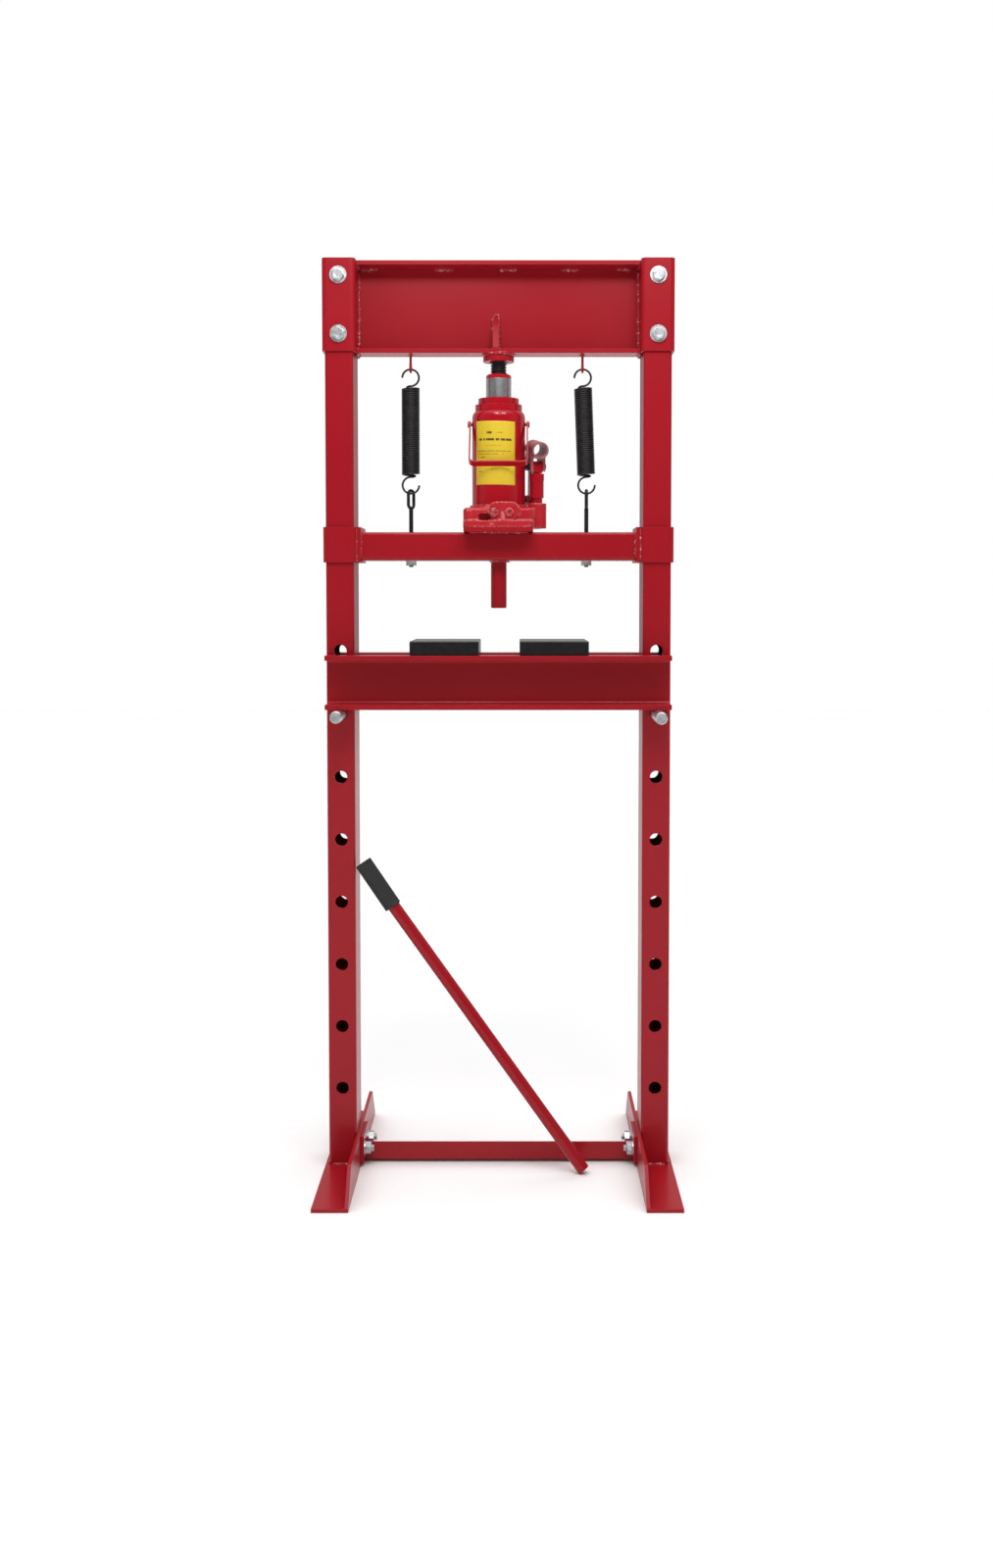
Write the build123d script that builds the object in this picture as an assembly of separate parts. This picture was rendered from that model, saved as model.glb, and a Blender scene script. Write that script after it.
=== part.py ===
from build123d import *
import math
import os

# Hydraulic shop press: a bolted H-frame whose bottle jack pushes a guided beam and its arbor down.
# Millimetres. X runs across the press, Y from front to back, Z up.
# The origin is on the floor, in the middle of the feet.

os.makedirs("parts", exist_ok=True)

# ---------- Driving dimensions ----------
# Frame
overall_height = 1300.0
overall_width = 500.0
foot_length = 400.0
angle_leg = 50.0
angle_thickness = 5.0
foot_mitre = 42.0
column_width = 40.0
column_depth = 70.0
column_wall = 3.0
column_corner = 4.0
column_top_setback = 3.0
pin_hole_diameter = 18.0
pin_hole_pitch = 90.0
pin_hole_count = 8
lowest_pin_hole = 117.0
table_pin_index = 6

# Head
head_height = 130.0
head_depth = 40.0
head_plate = 6.0
bracket_wall = 3.0
bracket_clearance = 0.6
head_bolt_inset = 24.0
gusset_thickness = 8.0
gusset_height = 52.0
gusset_setback = 3.0
gusset_x = -4.0
jack_socket_diameter = 44.0
jack_socket_height = 10.5
jack_socket_pocket = 6.0

# M10 fasteners of the frame
bolt_diameter = 10.0
bolt_hole_clearance = 0.5
hex_across_flats = 16.0
bolt_head_height = 6.4
nut_height = 8.0
head_washer_diameter = 24.0
foot_washer_diameter = 20.0
washer_thickness = 2.0
bolt_tip = 4.0

# Crossbar between the feet
crossbar_size = 25.0
crossbar_wall = 3.0
crossbar_root = 3.0
crossbar_end_plate = 5.0
crossbar_plate_height = 40.0
crossbar_bolt_gap = 0.5
crossbar_bolt_level = 25.0

# Press beam
beam_depth = 60.0
beam_height = 40.0
beam_wall = 3.0
beam_corner = 4.0
beam_bottom = 876.0
sleeve_height = 50.0
sleeve_wall = 3.0
sleeve_clearance = 0.6
sleeve_drop = 3.0
beam_end_plate = 6.0
tray_side_inset = 1.0
tray_thickness = 6.0
arbor_diameter = 22.6
arbor_projection = 68.0
arbor_spigot_diameter = 20.0
press_stroke = 95.0

# Return springs, the loops that carry them and the eye bolts that they pull
spring_x = 126.0
right_loop_offset = 6.0
spring_diameter = 26.5
spring_wire = 3.0
spring_hook_radius = 12.0
spring_body_margin = 10.4
spring_hook_top_sweep = 270.0
spring_hook_low_start = 20.0
spring_hook_low_sweep = 250.0
hook_gap = 0.5
loop_wire = 3.5
loop_bend_radius = 5.2
loop_drop = 26.0
loop_height = 16.0
eye_wire = 4.6
eye_bend_radius = 5.5
eye_height = 30.0
eye_rise = 63.0
eye_shank_diameter = 6.0
eye_shank_clearance = 0.3
eye_nut_flats = 13.0
eye_nut_height = 7.0
eye_tip = 2.0
left_eye_turn = 50.0
right_eye_turn = 90.0

# Bottle jack
base_side_margin = 12.0
base_depth_margin = 12.0
base_toe = 8.0
base_toe_height = 10.0
base_corner = 10.0
base_height = 28.0
base_edge = 3.0
base_collar_wall = 3.7
base_collar_height = 5.0
base_clearance = 0.3
reservoir_diameter = 76.0
reservoir_wall = 2.5
reservoir_height = 138.0
shoulder_height = 10.0
shoulder_inset = 4.5
cap_lower_height = 10.0
cap_upper_height = 9.0
cap_step = 4.5
cap_plug_depth = 8.0
cap_plug_margin = 8.0
cap_plug_clearance = 0.2
cylinder_diameter = 50.0
cylinder_bore = 40.0
ram_diameter = 36.0
ram_show = 28.5
ram_collar_height = 6.2
ram_clearance = 0.05
piston_height = 12.0
piston_clearance = 0.08
piston_margin = 2.0
seal_height = 6.0
screw_diameter = 23.5
screw_clearance = 0.08
screw_depth = 80.0
screw_bore_floor = 3.0
pocket_clearance = 1.5

# Valve, plugs and label on the jack
boss_length = 46.0
boss_height = 25.0
boss_projection = 3.0
boss_x = 7.7
boss_rise = 23.5
valve_x = -5.6
plug_x = 15.5
valve_rise = 21.0
valve_stem_diameter = 8.0
valve_stem_length = 20.0
valve_clearance = 0.05
valve_head_diameter = 12.0
valve_head_length = 4.5
valve_slot = 2.4
valve_slot_depth = 2.7
plug_head_length = 2.5
plug_socket_flats = 5.0
filler_rise = 88.0
filler_diameter = 10.0
filler_head_diameter = 14.0
filler_head = 2.5
label_thickness = 0.3
label_left = -31.5
label_right = 23.5
label_rise = 60.0
label_height = 91.0

# Carrying bail of the jack
bail_pivot_rise = 149.0
bail_width = 10.0
bail_strap = 2.0
bail_gap = 2.0
bail_front_gap = 0.6
bail_front_drop = 60.0
bail_bend = 8.0
bail_stud_diameter = 5.0
bail_stud_head = 9.0
bail_stud_head_length = 2.0
bail_side_play = 0.4
bail_pivot_clearance = 0.06

# Pump on the right of the jack
pump_stand_off = 16.6
pump_y = -5.0
pump_yaw = 14.0
lobe_radius = 14.0
lobe_height = 36.0
pump_neck_diameter = 16.0
pump_neck_height = 7.6
pump_barrel_diameter = 20.0
pump_barrel_height = 24.4
pump_collar_diameter = 21.0
pump_collar_height = 10.0
plunger_diameter = 10.0
plunger_clearance = 0.05
plunger_floor = 4.0
plunger_head_gap = 1.0
plunger_head_height = 17.0
plunger_head_length = 14.0
plunger_pin_rise = 9.35
plunger_head_width = 13.0
pump_pin_diameter = 6.0
pump_pin_clearance = 0.05
pump_pin_head = 9.0
pump_pin_head_length = 1.5
pump_pin_play = 0.4
pin_slot_length = 1.0
pin_slot_rise = 0.4
cheek_gap = 0.3
cheek_thickness = 4.0
link_offset = 20.0
link_rise = 3.0
link_foot_offset = 22.0
link_foot_rise = 7.0
link_width = 12.0
link_play = 0.5
lug_height = 13.0
handle_bore = 19.5
handle_wall = 2.25
handle_length = 44.0
handle_rise = 25.0
handle_tilt = 10.0

# Table, blocks, support pins and pump lever
channel_height = 76.0
channel_flange = 38.0
channel_web = 5.0
channel_flange_thickness = 7.0
channel_fillet = 4.0
table_end_inset = 7.0
table_clearance = 1.0
table_seat_gap = 0.3
spacer_thickness = 6.0
spacer_height = 60.0
spacer_gap = 3.0
block_length = 97.0
block_width = 140.0
block_height = 20.0
block_chamfer = 1.0
left_block_x = -76.0
right_block_x = 78.6
block_y = 2.0
support_pin_diameter = 17.0
support_pin_length = 220.0
support_pin_chamfer = 1.0
left_pin_front = -96.0
right_pin_front = -114.0
lever_length = 540.0
lever_diameter = 18.0
lever_wall = 2.0
lever_lean = 35.9
lever_slant = 3.0
lever_top_y = -28.0
lever_gap = 0.4
grip_length = 76.0
grip_diameter = 23.0
grip_cap = 3.0

# ---------- Places worked out from the dimensions ----------
column_inner = overall_width / 2 - angle_leg + angle_thickness
column_x = column_inner + column_width / 2
head_bottom = overall_height - head_height
sleeve_outer_wall = sleeve_clearance + sleeve_wall
head_half = column_inner - bracket_clearance - bracket_wall
beam_half = column_inner - sleeve_outer_wall
head_bolt_levels = (head_bottom + head_bolt_inset, overall_height - head_bolt_inset)
pin_levels = [lowest_pin_hole + i * pin_hole_pitch for i in range(pin_hole_count)]
table_pin_level = pin_levels[table_pin_index]
bolt_hole_radius = bolt_diameter / 2 + bolt_hole_clearance
crossbar_bolt_y = crossbar_size / 2 + crossbar_bolt_gap + foot_washer_diameter / 2
crossbar_plate_half = crossbar_bolt_y + foot_washer_diameter / 2

base_half_width = reservoir_diameter / 2 + base_side_margin
base_half_depth = reservoir_diameter / 2 + base_depth_margin
base_collar_radius = reservoir_diameter / 2 + base_clearance + base_collar_wall
boss_front = base_half_depth + boss_projection
cap_plug_radius = reservoir_diameter / 2 - cap_plug_margin
tray_width = 2 * (base_half_width - tray_side_inset)
tray_depth = 2 * (base_half_depth + base_toe)
beam_top = beam_bottom + beam_height
jack_bottom = beam_top + tray_thickness
base_top = jack_bottom + base_height
reservoir_top = base_top + reservoir_height
cap_bottom = reservoir_top - cap_plug_depth
cap_top = reservoir_top + cap_lower_height + cap_upper_height
ram_top = cap_top + ram_show
collar_top = ram_top + ram_collar_height
piston_top = cap_bottom - press_stroke - piston_margin
socket_bottom = head_bottom - jack_socket_height
screw_top = socket_bottom + jack_socket_pocket
bail_pivot = jack_bottom + bail_pivot_rise
bail_inner = reservoir_diameter / 2 + bail_gap

pump_x = reservoir_diameter / 2 + pump_stand_off
pump_bottom = jack_bottom + lobe_height
pump_top = pump_bottom + pump_neck_height + pump_barrel_height + pump_collar_height
plunger_head_bottom = pump_top + plunger_head_gap
plunger_pin_level = plunger_head_bottom + plunger_pin_rise
link_top_level = plunger_pin_level + link_rise
link_foot_level = pump_bottom + link_foot_rise
pump_pin_radius = pump_pin_diameter / 2
cheek_inner = plunger_head_width / 2 + cheek_gap
cheek_outer = cheek_inner + cheek_thickness
# The pump's own frame: X towards the mouth of the handle socket, Y along its pins, Z up.
pump_frame = Plane(
    origin=(pump_x, pump_y, 0),
    x_dir=(math.sin(math.radians(pump_yaw)), -math.cos(math.radians(pump_yaw)), 0),
    z_dir=(0, 0, 1),
)

table_bottom = table_pin_level + support_pin_diameter / 2 + table_seat_gap
table_top = table_bottom + channel_height
table_length = overall_width - 2 * table_end_inset
channel_inner = column_depth / 2 + table_clearance


# ---------- Shape helpers ----------
def block(x, y, z):
    """Box between the low and the high value given for each axis."""
    centre = Pos((x[0] + x[1]) / 2, (y[0] + y[1]) / 2, (z[0] + z[1]) / 2)
    return centre * Box(x[1] - x[0], y[1] - y[0], z[1] - z[0])


def rod(radius, start, end):
    """Round bar from one point to another."""
    run = Vector(*end) - Vector(*start)
    bar = Cylinder(radius, run.length, align=(Align.CENTER, Align.CENTER, Align.MIN))
    return Plane(origin=start, z_dir=run) * bar


def box_tube(width, depth, wall, corner, length):
    """Rectangular tube standing on Z = 0."""
    outer = extrude(RectangleRounded(width, depth, corner), amount=length)
    inner_corner = max(corner - wall, 0.5)
    inner = extrude(
        RectangleRounded(width - 2 * wall, depth - 2 * wall, inner_corner), amount=length
    )
    return outer - inner


def sheet_prism(plane, points, thickness):
    """Flat plate with the given outline, centred on the plane."""
    outline = make_face(Polyline(*points, close=True))
    return extrude(plane * outline, amount=thickness / 2, both=True)


def hexagon(flats, height):
    """Hexagonal prism standing on Z = 0."""
    return extrude(RegularPolygon(flats / 2, 6, major_radius=False), amount=height)


def wire_arc(bend_radius, wire_radius, start, sweep):
    """Round wire bent in the XZ plane, angles clockwise from +X as seen from the front."""
    section = Pos(bend_radius, 0, 0) * Circle(wire_radius)
    return Rot(0, start, 0) * revolve(section, axis=Axis.Y, revolution_arc=sweep)


def wire_eye(bend_radius, wire_radius, height):
    """Long closed eye of wire in the XZ plane, its outer bottom on Z = 0."""
    low = bend_radius + wire_radius
    high = height - low
    eye = Pos(0, 0, low) * wire_arc(bend_radius, wire_radius, 0, 180)
    eye += Pos(0, 0, high) * wire_arc(bend_radius, wire_radius, 180, 180)
    for side in (-1, 1):
        eye += rod(wire_radius, (side * bend_radius, 0, low), (side * bend_radius, 0, high))
    return eye


def turned(points):
    """Solid of revolution about Z from (radius, height) points."""
    return revolve(Plane.XZ * make_face(Polyline(*points, close=True)), axis=Axis.Z)


def save(node, shape):
    """Writes one node's STEP file."""
    export_step(shape, f"parts/{node}.step")


# ---------- Frame ----------
def make_column(side):
    x = side * column_x
    height = overall_height - column_top_setback - angle_thickness
    tube = Pos(x, 0, angle_thickness) * box_tube(
        column_width, column_depth, column_wall, column_corner, height
    )
    for level in pin_levels:
        tube -= rod(pin_hole_diameter / 2, (x, -column_depth, level), (x, column_depth, level))
    for level in head_bolt_levels:
        tube -= rod(bolt_hole_radius, (x, -column_depth, level), (x, column_depth, level))
    for y in (-crossbar_bolt_y, crossbar_bolt_y):
        tube -= rod(
            bolt_hole_radius,
            (side * (column_inner - column_wall), y, crossbar_bolt_level),
            (x, y, crossbar_bolt_level),
        )
    return tube


def make_foot(side):
    """Steel angle with its upright leg on the inside, mitred at both ends."""
    reach = foot_length / 2
    upright = sheet_prism(
        Plane.YZ,
        [
            (-reach, 0),
            (reach, 0),
            (reach, angle_thickness),
            (reach - foot_mitre, angle_leg),
            (-reach + foot_mitre, angle_leg),
            (-reach, angle_thickness),
        ],
        angle_thickness,
    )
    foot = Pos(side * (column_inner - angle_thickness / 2), 0, 0) * upright
    edges = sorted((side * column_inner, side * overall_width / 2))
    foot += block(edges, (-reach, reach), (0, angle_thickness))
    for y in (-crossbar_bolt_y, crossbar_bolt_y):
        foot -= rod(
            bolt_hole_radius,
            (side * (column_inner - 2 * angle_thickness), y, crossbar_bolt_level),
            (side * (column_inner + angle_thickness), y, crossbar_bolt_level),
        )
    return foot


foot_inner = column_inner - angle_thickness
plate_inner = foot_inner - crossbar_end_plate


def make_crossbar():
    """Angle bar: one leg upright at the front, the other lying towards the back."""
    front, low = -crossbar_size / 2, angle_thickness
    ends = (-plate_inner, plate_inner)
    bar = block(ends, (front, front + crossbar_size), (low, low + crossbar_wall))
    bar += block(ends, (front, front + crossbar_wall), (low, low + crossbar_size))
    root = bar.edges().filter_by(Axis.X).sort_by(
        lambda edge: abs(edge.center().Y - front - crossbar_wall)
        + abs(edge.center().Z - low - crossbar_wall)
    )[0]
    return fillet(root, crossbar_root)


def make_crossbar_plate(side):
    edges = sorted((side * plate_inner, side * foot_inner))
    top = angle_thickness + crossbar_plate_height
    plate = block(edges, (-crossbar_plate_half, crossbar_plate_half), (angle_thickness, top))
    for y in (-crossbar_bolt_y, crossbar_bolt_y):
        plate -= rod(
            bolt_hole_radius,
            (side * (plate_inner - crossbar_end_plate), y, crossbar_bolt_level),
            (side * column_inner, y, crossbar_bolt_level),
        )
    return plate


def make_bracket(side):
    """Square sleeve round the top of a column, bolted through it."""
    x = side * column_x
    growth = 2 * (bracket_clearance + bracket_wall)
    sleeve = Pos(x, 0, head_bottom) * box_tube(
        column_width + growth,
        column_depth + growth,
        bracket_wall,
        column_corner + bracket_wall,
        head_height,
    )
    for level in head_bolt_levels:
        sleeve -= rod(bolt_hole_radius, (x, -column_depth, level), (x, column_depth, level))
    return sleeve


head_back = head_depth / 2
web_front = head_back - head_plate
head_floor = head_bottom + head_plate
head_ceiling = overall_height - head_plate


def make_gusset():
    outline = [
        (web_front, head_floor),
        (-head_back + gusset_setback, head_floor),
        (-head_back + gusset_setback, head_floor + gusset_setback),
        (web_front, head_floor + gusset_height),
    ]
    return Pos(gusset_x, 0, 0) * sheet_prism(Plane.YZ, outline, gusset_thickness)


def make_jack_socket():
    """Round boss under the head with a pocket for the top of the extension screw."""
    boss = rod(jack_socket_diameter / 2, (0, 0, socket_bottom), (0, 0, head_bottom))
    pocket_radius = screw_diameter / 2 + pocket_clearance
    return boss - rod(pocket_radius, (0, 0, socket_bottom), (0, 0, screw_top))


spring_tops = {"left": -spring_x, "right": spring_x - right_loop_offset}
spring_feet = {"left": -spring_x, "right": spring_x}


def make_spring_loops():
    """Wire loops welded under the head, edge on to the front."""
    loops = []
    for x in spring_tops.values():
        eye = Rot(0, 0, 90) * wire_eye(loop_bend_radius, loop_wire / 2, loop_height)
        loop = Pos(x, 0, head_bottom - loop_drop) * eye
        stem_bottom = head_bottom - loop_drop + loop_height - loop_wire / 2
        loop += rod(loop_wire / 2, (x, 0, stem_bottom), (x, 0, head_bottom))
        loops.append(loop)
    return loops[0] + loops[1]


# ---------- M10 fasteners ----------
bracket_face = column_depth / 2 + bracket_clearance + bracket_wall
captive_face = column_inner + column_wall


def frame_joints():
    """Place, under-head point, direction and length down to the nut's washer of each bolt."""
    joints = []
    for side in (-1, 1):
        for level in head_bolt_levels:
            head = Vector(side * column_x, -bracket_face - washer_thickness, level)
            joints.append(("head", head, Vector(0, 1, 0), 2 * bracket_face + washer_thickness))
        for y in (-crossbar_bolt_y, crossbar_bolt_y):
            head = Vector(side * captive_face, y, crossbar_bolt_level)
            joints.append(("foot", head, Vector(-side, 0, 0), captive_face - plate_inner))
    return joints


def make_bolt(head, run, grip):
    """Hex bolt, long enough for the grip, a washer, a nut and a short tip."""
    length = grip + washer_thickness + nut_height + bolt_tip
    blank = Pos(0, 0, -bolt_head_height) * hexagon(hex_across_flats, bolt_head_height)
    blank += rod(bolt_diameter / 2, (0, 0, 0), (0, 0, length))
    return Plane(origin=head, z_dir=run) * blank


def make_nut(head, run, grip):
    nut = hexagon(hex_across_flats, nut_height)
    nut -= rod(bolt_diameter / 2, (0, 0, 0), (0, 0, nut_height))
    return Plane(origin=head + run * (grip + washer_thickness), z_dir=run) * nut


def make_washer(start, run, diameter):
    washer = rod(diameter / 2, (0, 0, 0), (0, 0, washer_thickness))
    washer -= rod(bolt_hole_radius, (0, 0, 0), (0, 0, washer_thickness))
    return Plane(origin=start, z_dir=run) * washer


def save_fasteners():
    bolts = {"head": [], "foot": []}
    washers = {"head": [], "foot": []}
    nuts = []
    for place, head, run, grip in frame_joints():
        bolts[place].append(make_bolt(head, run, grip))
        nuts.append(make_nut(head, run, grip))
        if place == "head":
            washers[place].append(make_washer(head, run, head_washer_diameter))
            washers[place].append(make_washer(head + run * grip, run, head_washer_diameter))
        else:
            washers[place].append(make_washer(head + run * grip, run, foot_washer_diameter))
    save("frame_nuts", Compound(children=nuts))
    for place in ("head", "foot"):
        save(f"{place}_bolts", Compound(children=bolts[place]))
        save(f"{place}_washers", Compound(children=washers[place]))


# ---------- Ram and extension screw ----------
def make_ram():
    ram = rod(ram_diameter / 2, (0, 0, piston_top - piston_height), (0, 0, ram_top))
    bore_radius = screw_diameter / 2 + screw_clearance
    bore_bottom = collar_top - screw_depth - screw_bore_floor
    return ram - rod(bore_radius, (0, 0, bore_bottom), (0, 0, ram_top))


def make_ram_collar():
    outer = ram_diameter / 2
    inner = screw_diameter / 2 + screw_clearance
    bevel = ram_collar_height / 3
    return turned(
        [
            (inner, ram_top),
            (outer, ram_top),
            (outer, collar_top - bevel),
            (outer - bevel, collar_top),
            (inner, collar_top),
        ]
    )


def make_piston():
    radius = cylinder_bore / 2 - piston_clearance
    low = piston_top - piston_height
    ring = rod(radius, (0, 0, low), (0, 0, piston_top))
    return ring - rod(ram_diameter / 2, (0, 0, low), (0, 0, piston_top))


def make_ram_seal():
    radius = cylinder_bore / 2 - piston_clearance
    high = piston_top - piston_height
    return rod(radius, (0, 0, high - seal_height), (0, 0, high))


def make_extension_screw():
    radius = screw_diameter / 2
    bevel = 1.0
    low = collar_top - screw_depth
    return turned(
        [
            (0, low),
            (radius, low),
            (radius, screw_top - bevel),
            (radius - bevel, screw_top),
            (0, screw_top),
        ]
    )


# ---------- Press beam ----------
def make_press_beam():
    length = 2 * (beam_half - beam_end_plate)
    tube = box_tube(beam_height, beam_depth, beam_wall, beam_corner, length)
    beam = Plane(origin=(-length / 2, 0, 0), z_dir=(1, 0, 0), x_dir=(0, 0, 1)) * tube
    beam = Pos(0, 0, beam_bottom + beam_height / 2) * beam
    shank_hole = eye_shank_diameter / 2 + eye_shank_clearance
    for x in spring_feet.values():
        beam -= rod(shank_hole, (x, 0, beam_bottom - beam_wall), (x, 0, beam_top + beam_wall))
    arbor_bottom = (0, 0, beam_bottom - beam_wall)
    return beam - rod(arbor_spigot_diameter / 2, arbor_bottom, (0, 0, beam_bottom + beam_wall))


def make_sleeve(side):
    growth = 2 * sleeve_outer_wall
    return Pos(side * column_x, 0, beam_bottom - sleeve_drop) * box_tube(
        column_width + growth,
        column_depth + growth,
        sleeve_wall,
        column_corner + sleeve_wall,
        sleeve_height,
    )


def make_beam_end_plates():
    half = column_depth / 2 + sleeve_clearance
    low = beam_bottom - sleeve_drop
    plates = []
    for side in (-1, 1):
        edges = sorted((side * (beam_half - beam_end_plate), side * beam_half))
        plates.append(block(edges, (-half, half), (low, low + sleeve_height)))
    return Compound(children=plates)


def make_arbor():
    """Round nose under the beam, its thinner spigot passing through the lower wall to the upper."""
    bevel = 1.0
    radius = arbor_diameter / 2
    spigot = arbor_spigot_diameter / 2
    tip = beam_bottom - arbor_projection
    return turned(
        [
            (0, tip),
            (radius - bevel, tip),
            (radius, tip + bevel),
            (radius, beam_bottom),
            (spigot, beam_bottom),
            (spigot, beam_top - beam_wall),
            (0, beam_top - beam_wall),
        ]
    )


eye_top = beam_top + eye_rise
nut_bottom = beam_bottom - eye_nut_height


def make_eye_bolt(x, turn):
    eye = Rot(0, 0, turn) * wire_eye(eye_bend_radius, eye_wire / 2, eye_height)
    bolt = Pos(x, 0, eye_top - eye_height) * eye
    shank_top = eye_top - eye_height + eye_wire / 2
    return bolt + rod(eye_shank_diameter / 2, (x, 0, nut_bottom - eye_tip), (x, 0, shank_top))


def make_eye_nuts():
    nuts = []
    for x in spring_feet.values():
        nut = hexagon(eye_nut_flats, eye_nut_height)
        nut -= rod(eye_shank_diameter / 2, (0, 0, 0), (0, 0, eye_nut_height))
        nuts.append(Pos(x, 0, nut_bottom) * nut)
    return Compound(children=nuts)


def make_spring(side):
    """Close-wound body as a tube, with an open hook at each end."""
    wire = spring_wire / 2
    loop_seat = head_bottom - loop_drop + loop_wire
    eye_seat = eye_top - eye_wire
    high = Vector(spring_tops[side], 0, loop_seat + hook_gap + wire - spring_hook_radius)
    low = Vector(spring_feet[side], 0, eye_seat - hook_gap - wire + spring_hook_radius)
    run = high - low
    outer = spring_diameter / 2
    body_low = spring_body_margin
    body_high = run.length - spring_body_margin
    spring = rod(outer, (0, 0, body_low), (0, 0, body_high))
    spring -= rod(outer - spring_wire, (0, 0, body_low), (0, 0, body_high))
    hook = wire_arc(spring_hook_radius, wire, spring_hook_low_start, spring_hook_low_sweep)
    spring += hook
    hook = wire_arc(spring_hook_radius, wire, 180, spring_hook_top_sweep)
    spring += Pos(0, 0, run.length) * hook
    spring += rod(wire, (0, 0, spring_hook_radius), (outer - wire, 0, spring_hook_radius))
    ridge = run.length - spring_hook_radius
    spring += rod(wire, (0, 0, ridge), (outer - wire, 0, ridge))
    return Plane(origin=low, z_dir=run, x_dir=(run.Z, 0, -run.X)) * spring


# ---------- Bottle jack ----------
valve_level = jack_bottom + valve_rise
valve_stem_radius = valve_stem_diameter / 2


def make_jack_base():
    """Casting: foot, front toe, valve boss, and the lobe and lugs of the pump."""
    foot = extrude(
        RectangleRounded(2 * base_half_width, 2 * base_half_depth, base_corner),
        amount=base_height,
    )
    foot = chamfer(foot.faces().sort_by(Axis.Z)[-1].edges(), base_edge)
    base = Pos(0, 0, jack_bottom) * foot
    toe = extrude(
        RectangleRounded(2 * base_half_width, 2 * base_half_depth, base_corner),
        amount=base_toe_height,
    )
    base += Pos(0, -base_toe, jack_bottom) * toe
    collar_top_level = base_top + base_collar_height
    base += rod(base_collar_radius, (0, 0, jack_bottom), (0, 0, collar_top_level))
    boss = extrude(Plane.XZ * SlotOverall(boss_length, boss_height), amount=boss_front)
    base += Pos(boss_x, 0, jack_bottom + boss_rise) * boss
    lobe = rod(lobe_radius, (0, 0, jack_bottom), (0, 0, pump_bottom))
    lug_reach = link_foot_offset + link_width / 2
    lobe += block((-lug_reach, 0), (-cheek_outer, cheek_outer), (jack_bottom, pump_bottom))
    lugs = block(
        (-lug_reach, -link_foot_offset + link_width / 2),
        (-cheek_outer, cheek_outer),
        (pump_bottom, pump_bottom + lug_height),
    )
    lug_gap = (pump_bottom, pump_bottom + 2 * lug_height)
    lugs -= block((-2 * lug_reach, 0), (-cheek_inner, cheek_inner), lug_gap)
    base += pump_frame * (lobe + lugs)
    base += block((0, pump_x), (pump_y - lobe_radius, pump_y + lobe_radius), (jack_bottom, base_top))
    tank_seat = reservoir_diameter / 2 + base_clearance
    base -= rod(tank_seat, (0, 0, base_top), (0, 0, reservoir_top))
    base -= pump_frame * rod(
        pump_pin_radius,
        (-link_foot_offset, -2 * cheek_outer, link_foot_level),
        (-link_foot_offset, 2 * cheek_outer, link_foot_level),
    )
    for x, radius in ((valve_x, valve_stem_radius + valve_clearance), (plug_x, valve_stem_radius)):
        start = (x, -boss_front + valve_stem_length, valve_level)
        base -= rod(radius, start, (x, -2 * boss_front, valve_level))
    return base


def make_reservoir():
    outer = reservoir_diameter / 2
    neck = outer - shoulder_inset
    opening = cap_plug_radius + cap_plug_clearance
    inner = outer - reservoir_wall
    shoulder = reservoir_top - shoulder_height
    outline = Polyline((opening, reservoir_top), (opening, shoulder), (inner, shoulder), (inner, base_top))
    outline += Polyline((inner, base_top), (outer, base_top), (outer, shoulder))
    roundness = 0.55
    outline += Bezier(
        (outer, shoulder),
        (outer, shoulder + roundness * shoulder_height),
        (neck + roundness * shoulder_inset, reservoir_top),
        (neck, reservoir_top),
    )
    outline += Line((neck, reservoir_top), (opening, reservoir_top))
    tank = revolve(Plane.XZ * make_face(outline), axis=Axis.Z)
    level = jack_bottom + filler_rise
    return tank - rod(filler_diameter / 2, (0, 0, level), (0, reservoir_diameter, level))


def make_inner_cylinder():
    tube = rod(cylinder_diameter / 2, (0, 0, base_top), (0, 0, cap_bottom))
    return tube - rod(cylinder_bore / 2, (0, 0, base_top), (0, 0, cap_bottom))


def make_cap():
    plug = cap_plug_radius
    rim = reservoir_diameter / 2 - shoulder_inset
    step = reservoir_top + cap_lower_height
    bore = ram_diameter / 2 + ram_clearance
    return turned(
        [
            (bore, cap_bottom),
            (plug, cap_bottom),
            (plug, reservoir_top),
            (rim, reservoir_top),
            (rim, step),
            (rim - cap_step, step),
            (rim - cap_step, cap_top),
            (bore, cap_top),
        ]
    )


def make_label():
    """Thin sticker wrapped on the front of the reservoir."""
    radius = reservoir_diameter / 2
    low = jack_bottom + label_rise
    ring = rod(radius + label_thickness, (0, 0, low), (0, 0, low + label_height))
    ring -= rod(radius, (0, 0, low), (0, 0, low + label_height))
    window = block((label_left, label_right), (-2 * radius, 0), (low, low + label_height))
    return ring & window


def make_filler_plug():
    level = jack_bottom + filler_rise
    outer = reservoir_diameter / 2
    stem = rod(filler_diameter / 2, (0, outer - 2 * reservoir_wall, level), (0, outer, level))
    return stem + rod(filler_head_diameter / 2, (0, outer, level), (0, outer + filler_head, level))


def make_release_valve():
    """Screw with a cross slot that the end of the pump lever turns."""
    tip = (valve_x, -boss_front + valve_stem_length, valve_level)
    seat = (valve_x, -boss_front, valve_level)
    face = (valve_x, -boss_front - valve_head_length, valve_level)
    valve = rod(valve_stem_radius, tip, seat) + rod(valve_head_diameter / 2, seat, face)
    half = valve_slot / 2
    reach = valve_head_diameter
    depth = (face[1] - valve_slot, face[1] + valve_slot_depth)
    tall = block((valve_x - half, valve_x + half), depth, (valve_level - reach, valve_level + reach))
    wide = block((valve_x - reach, valve_x + reach), depth, (valve_level - half, valve_level + half))
    return valve - tall - wide


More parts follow.
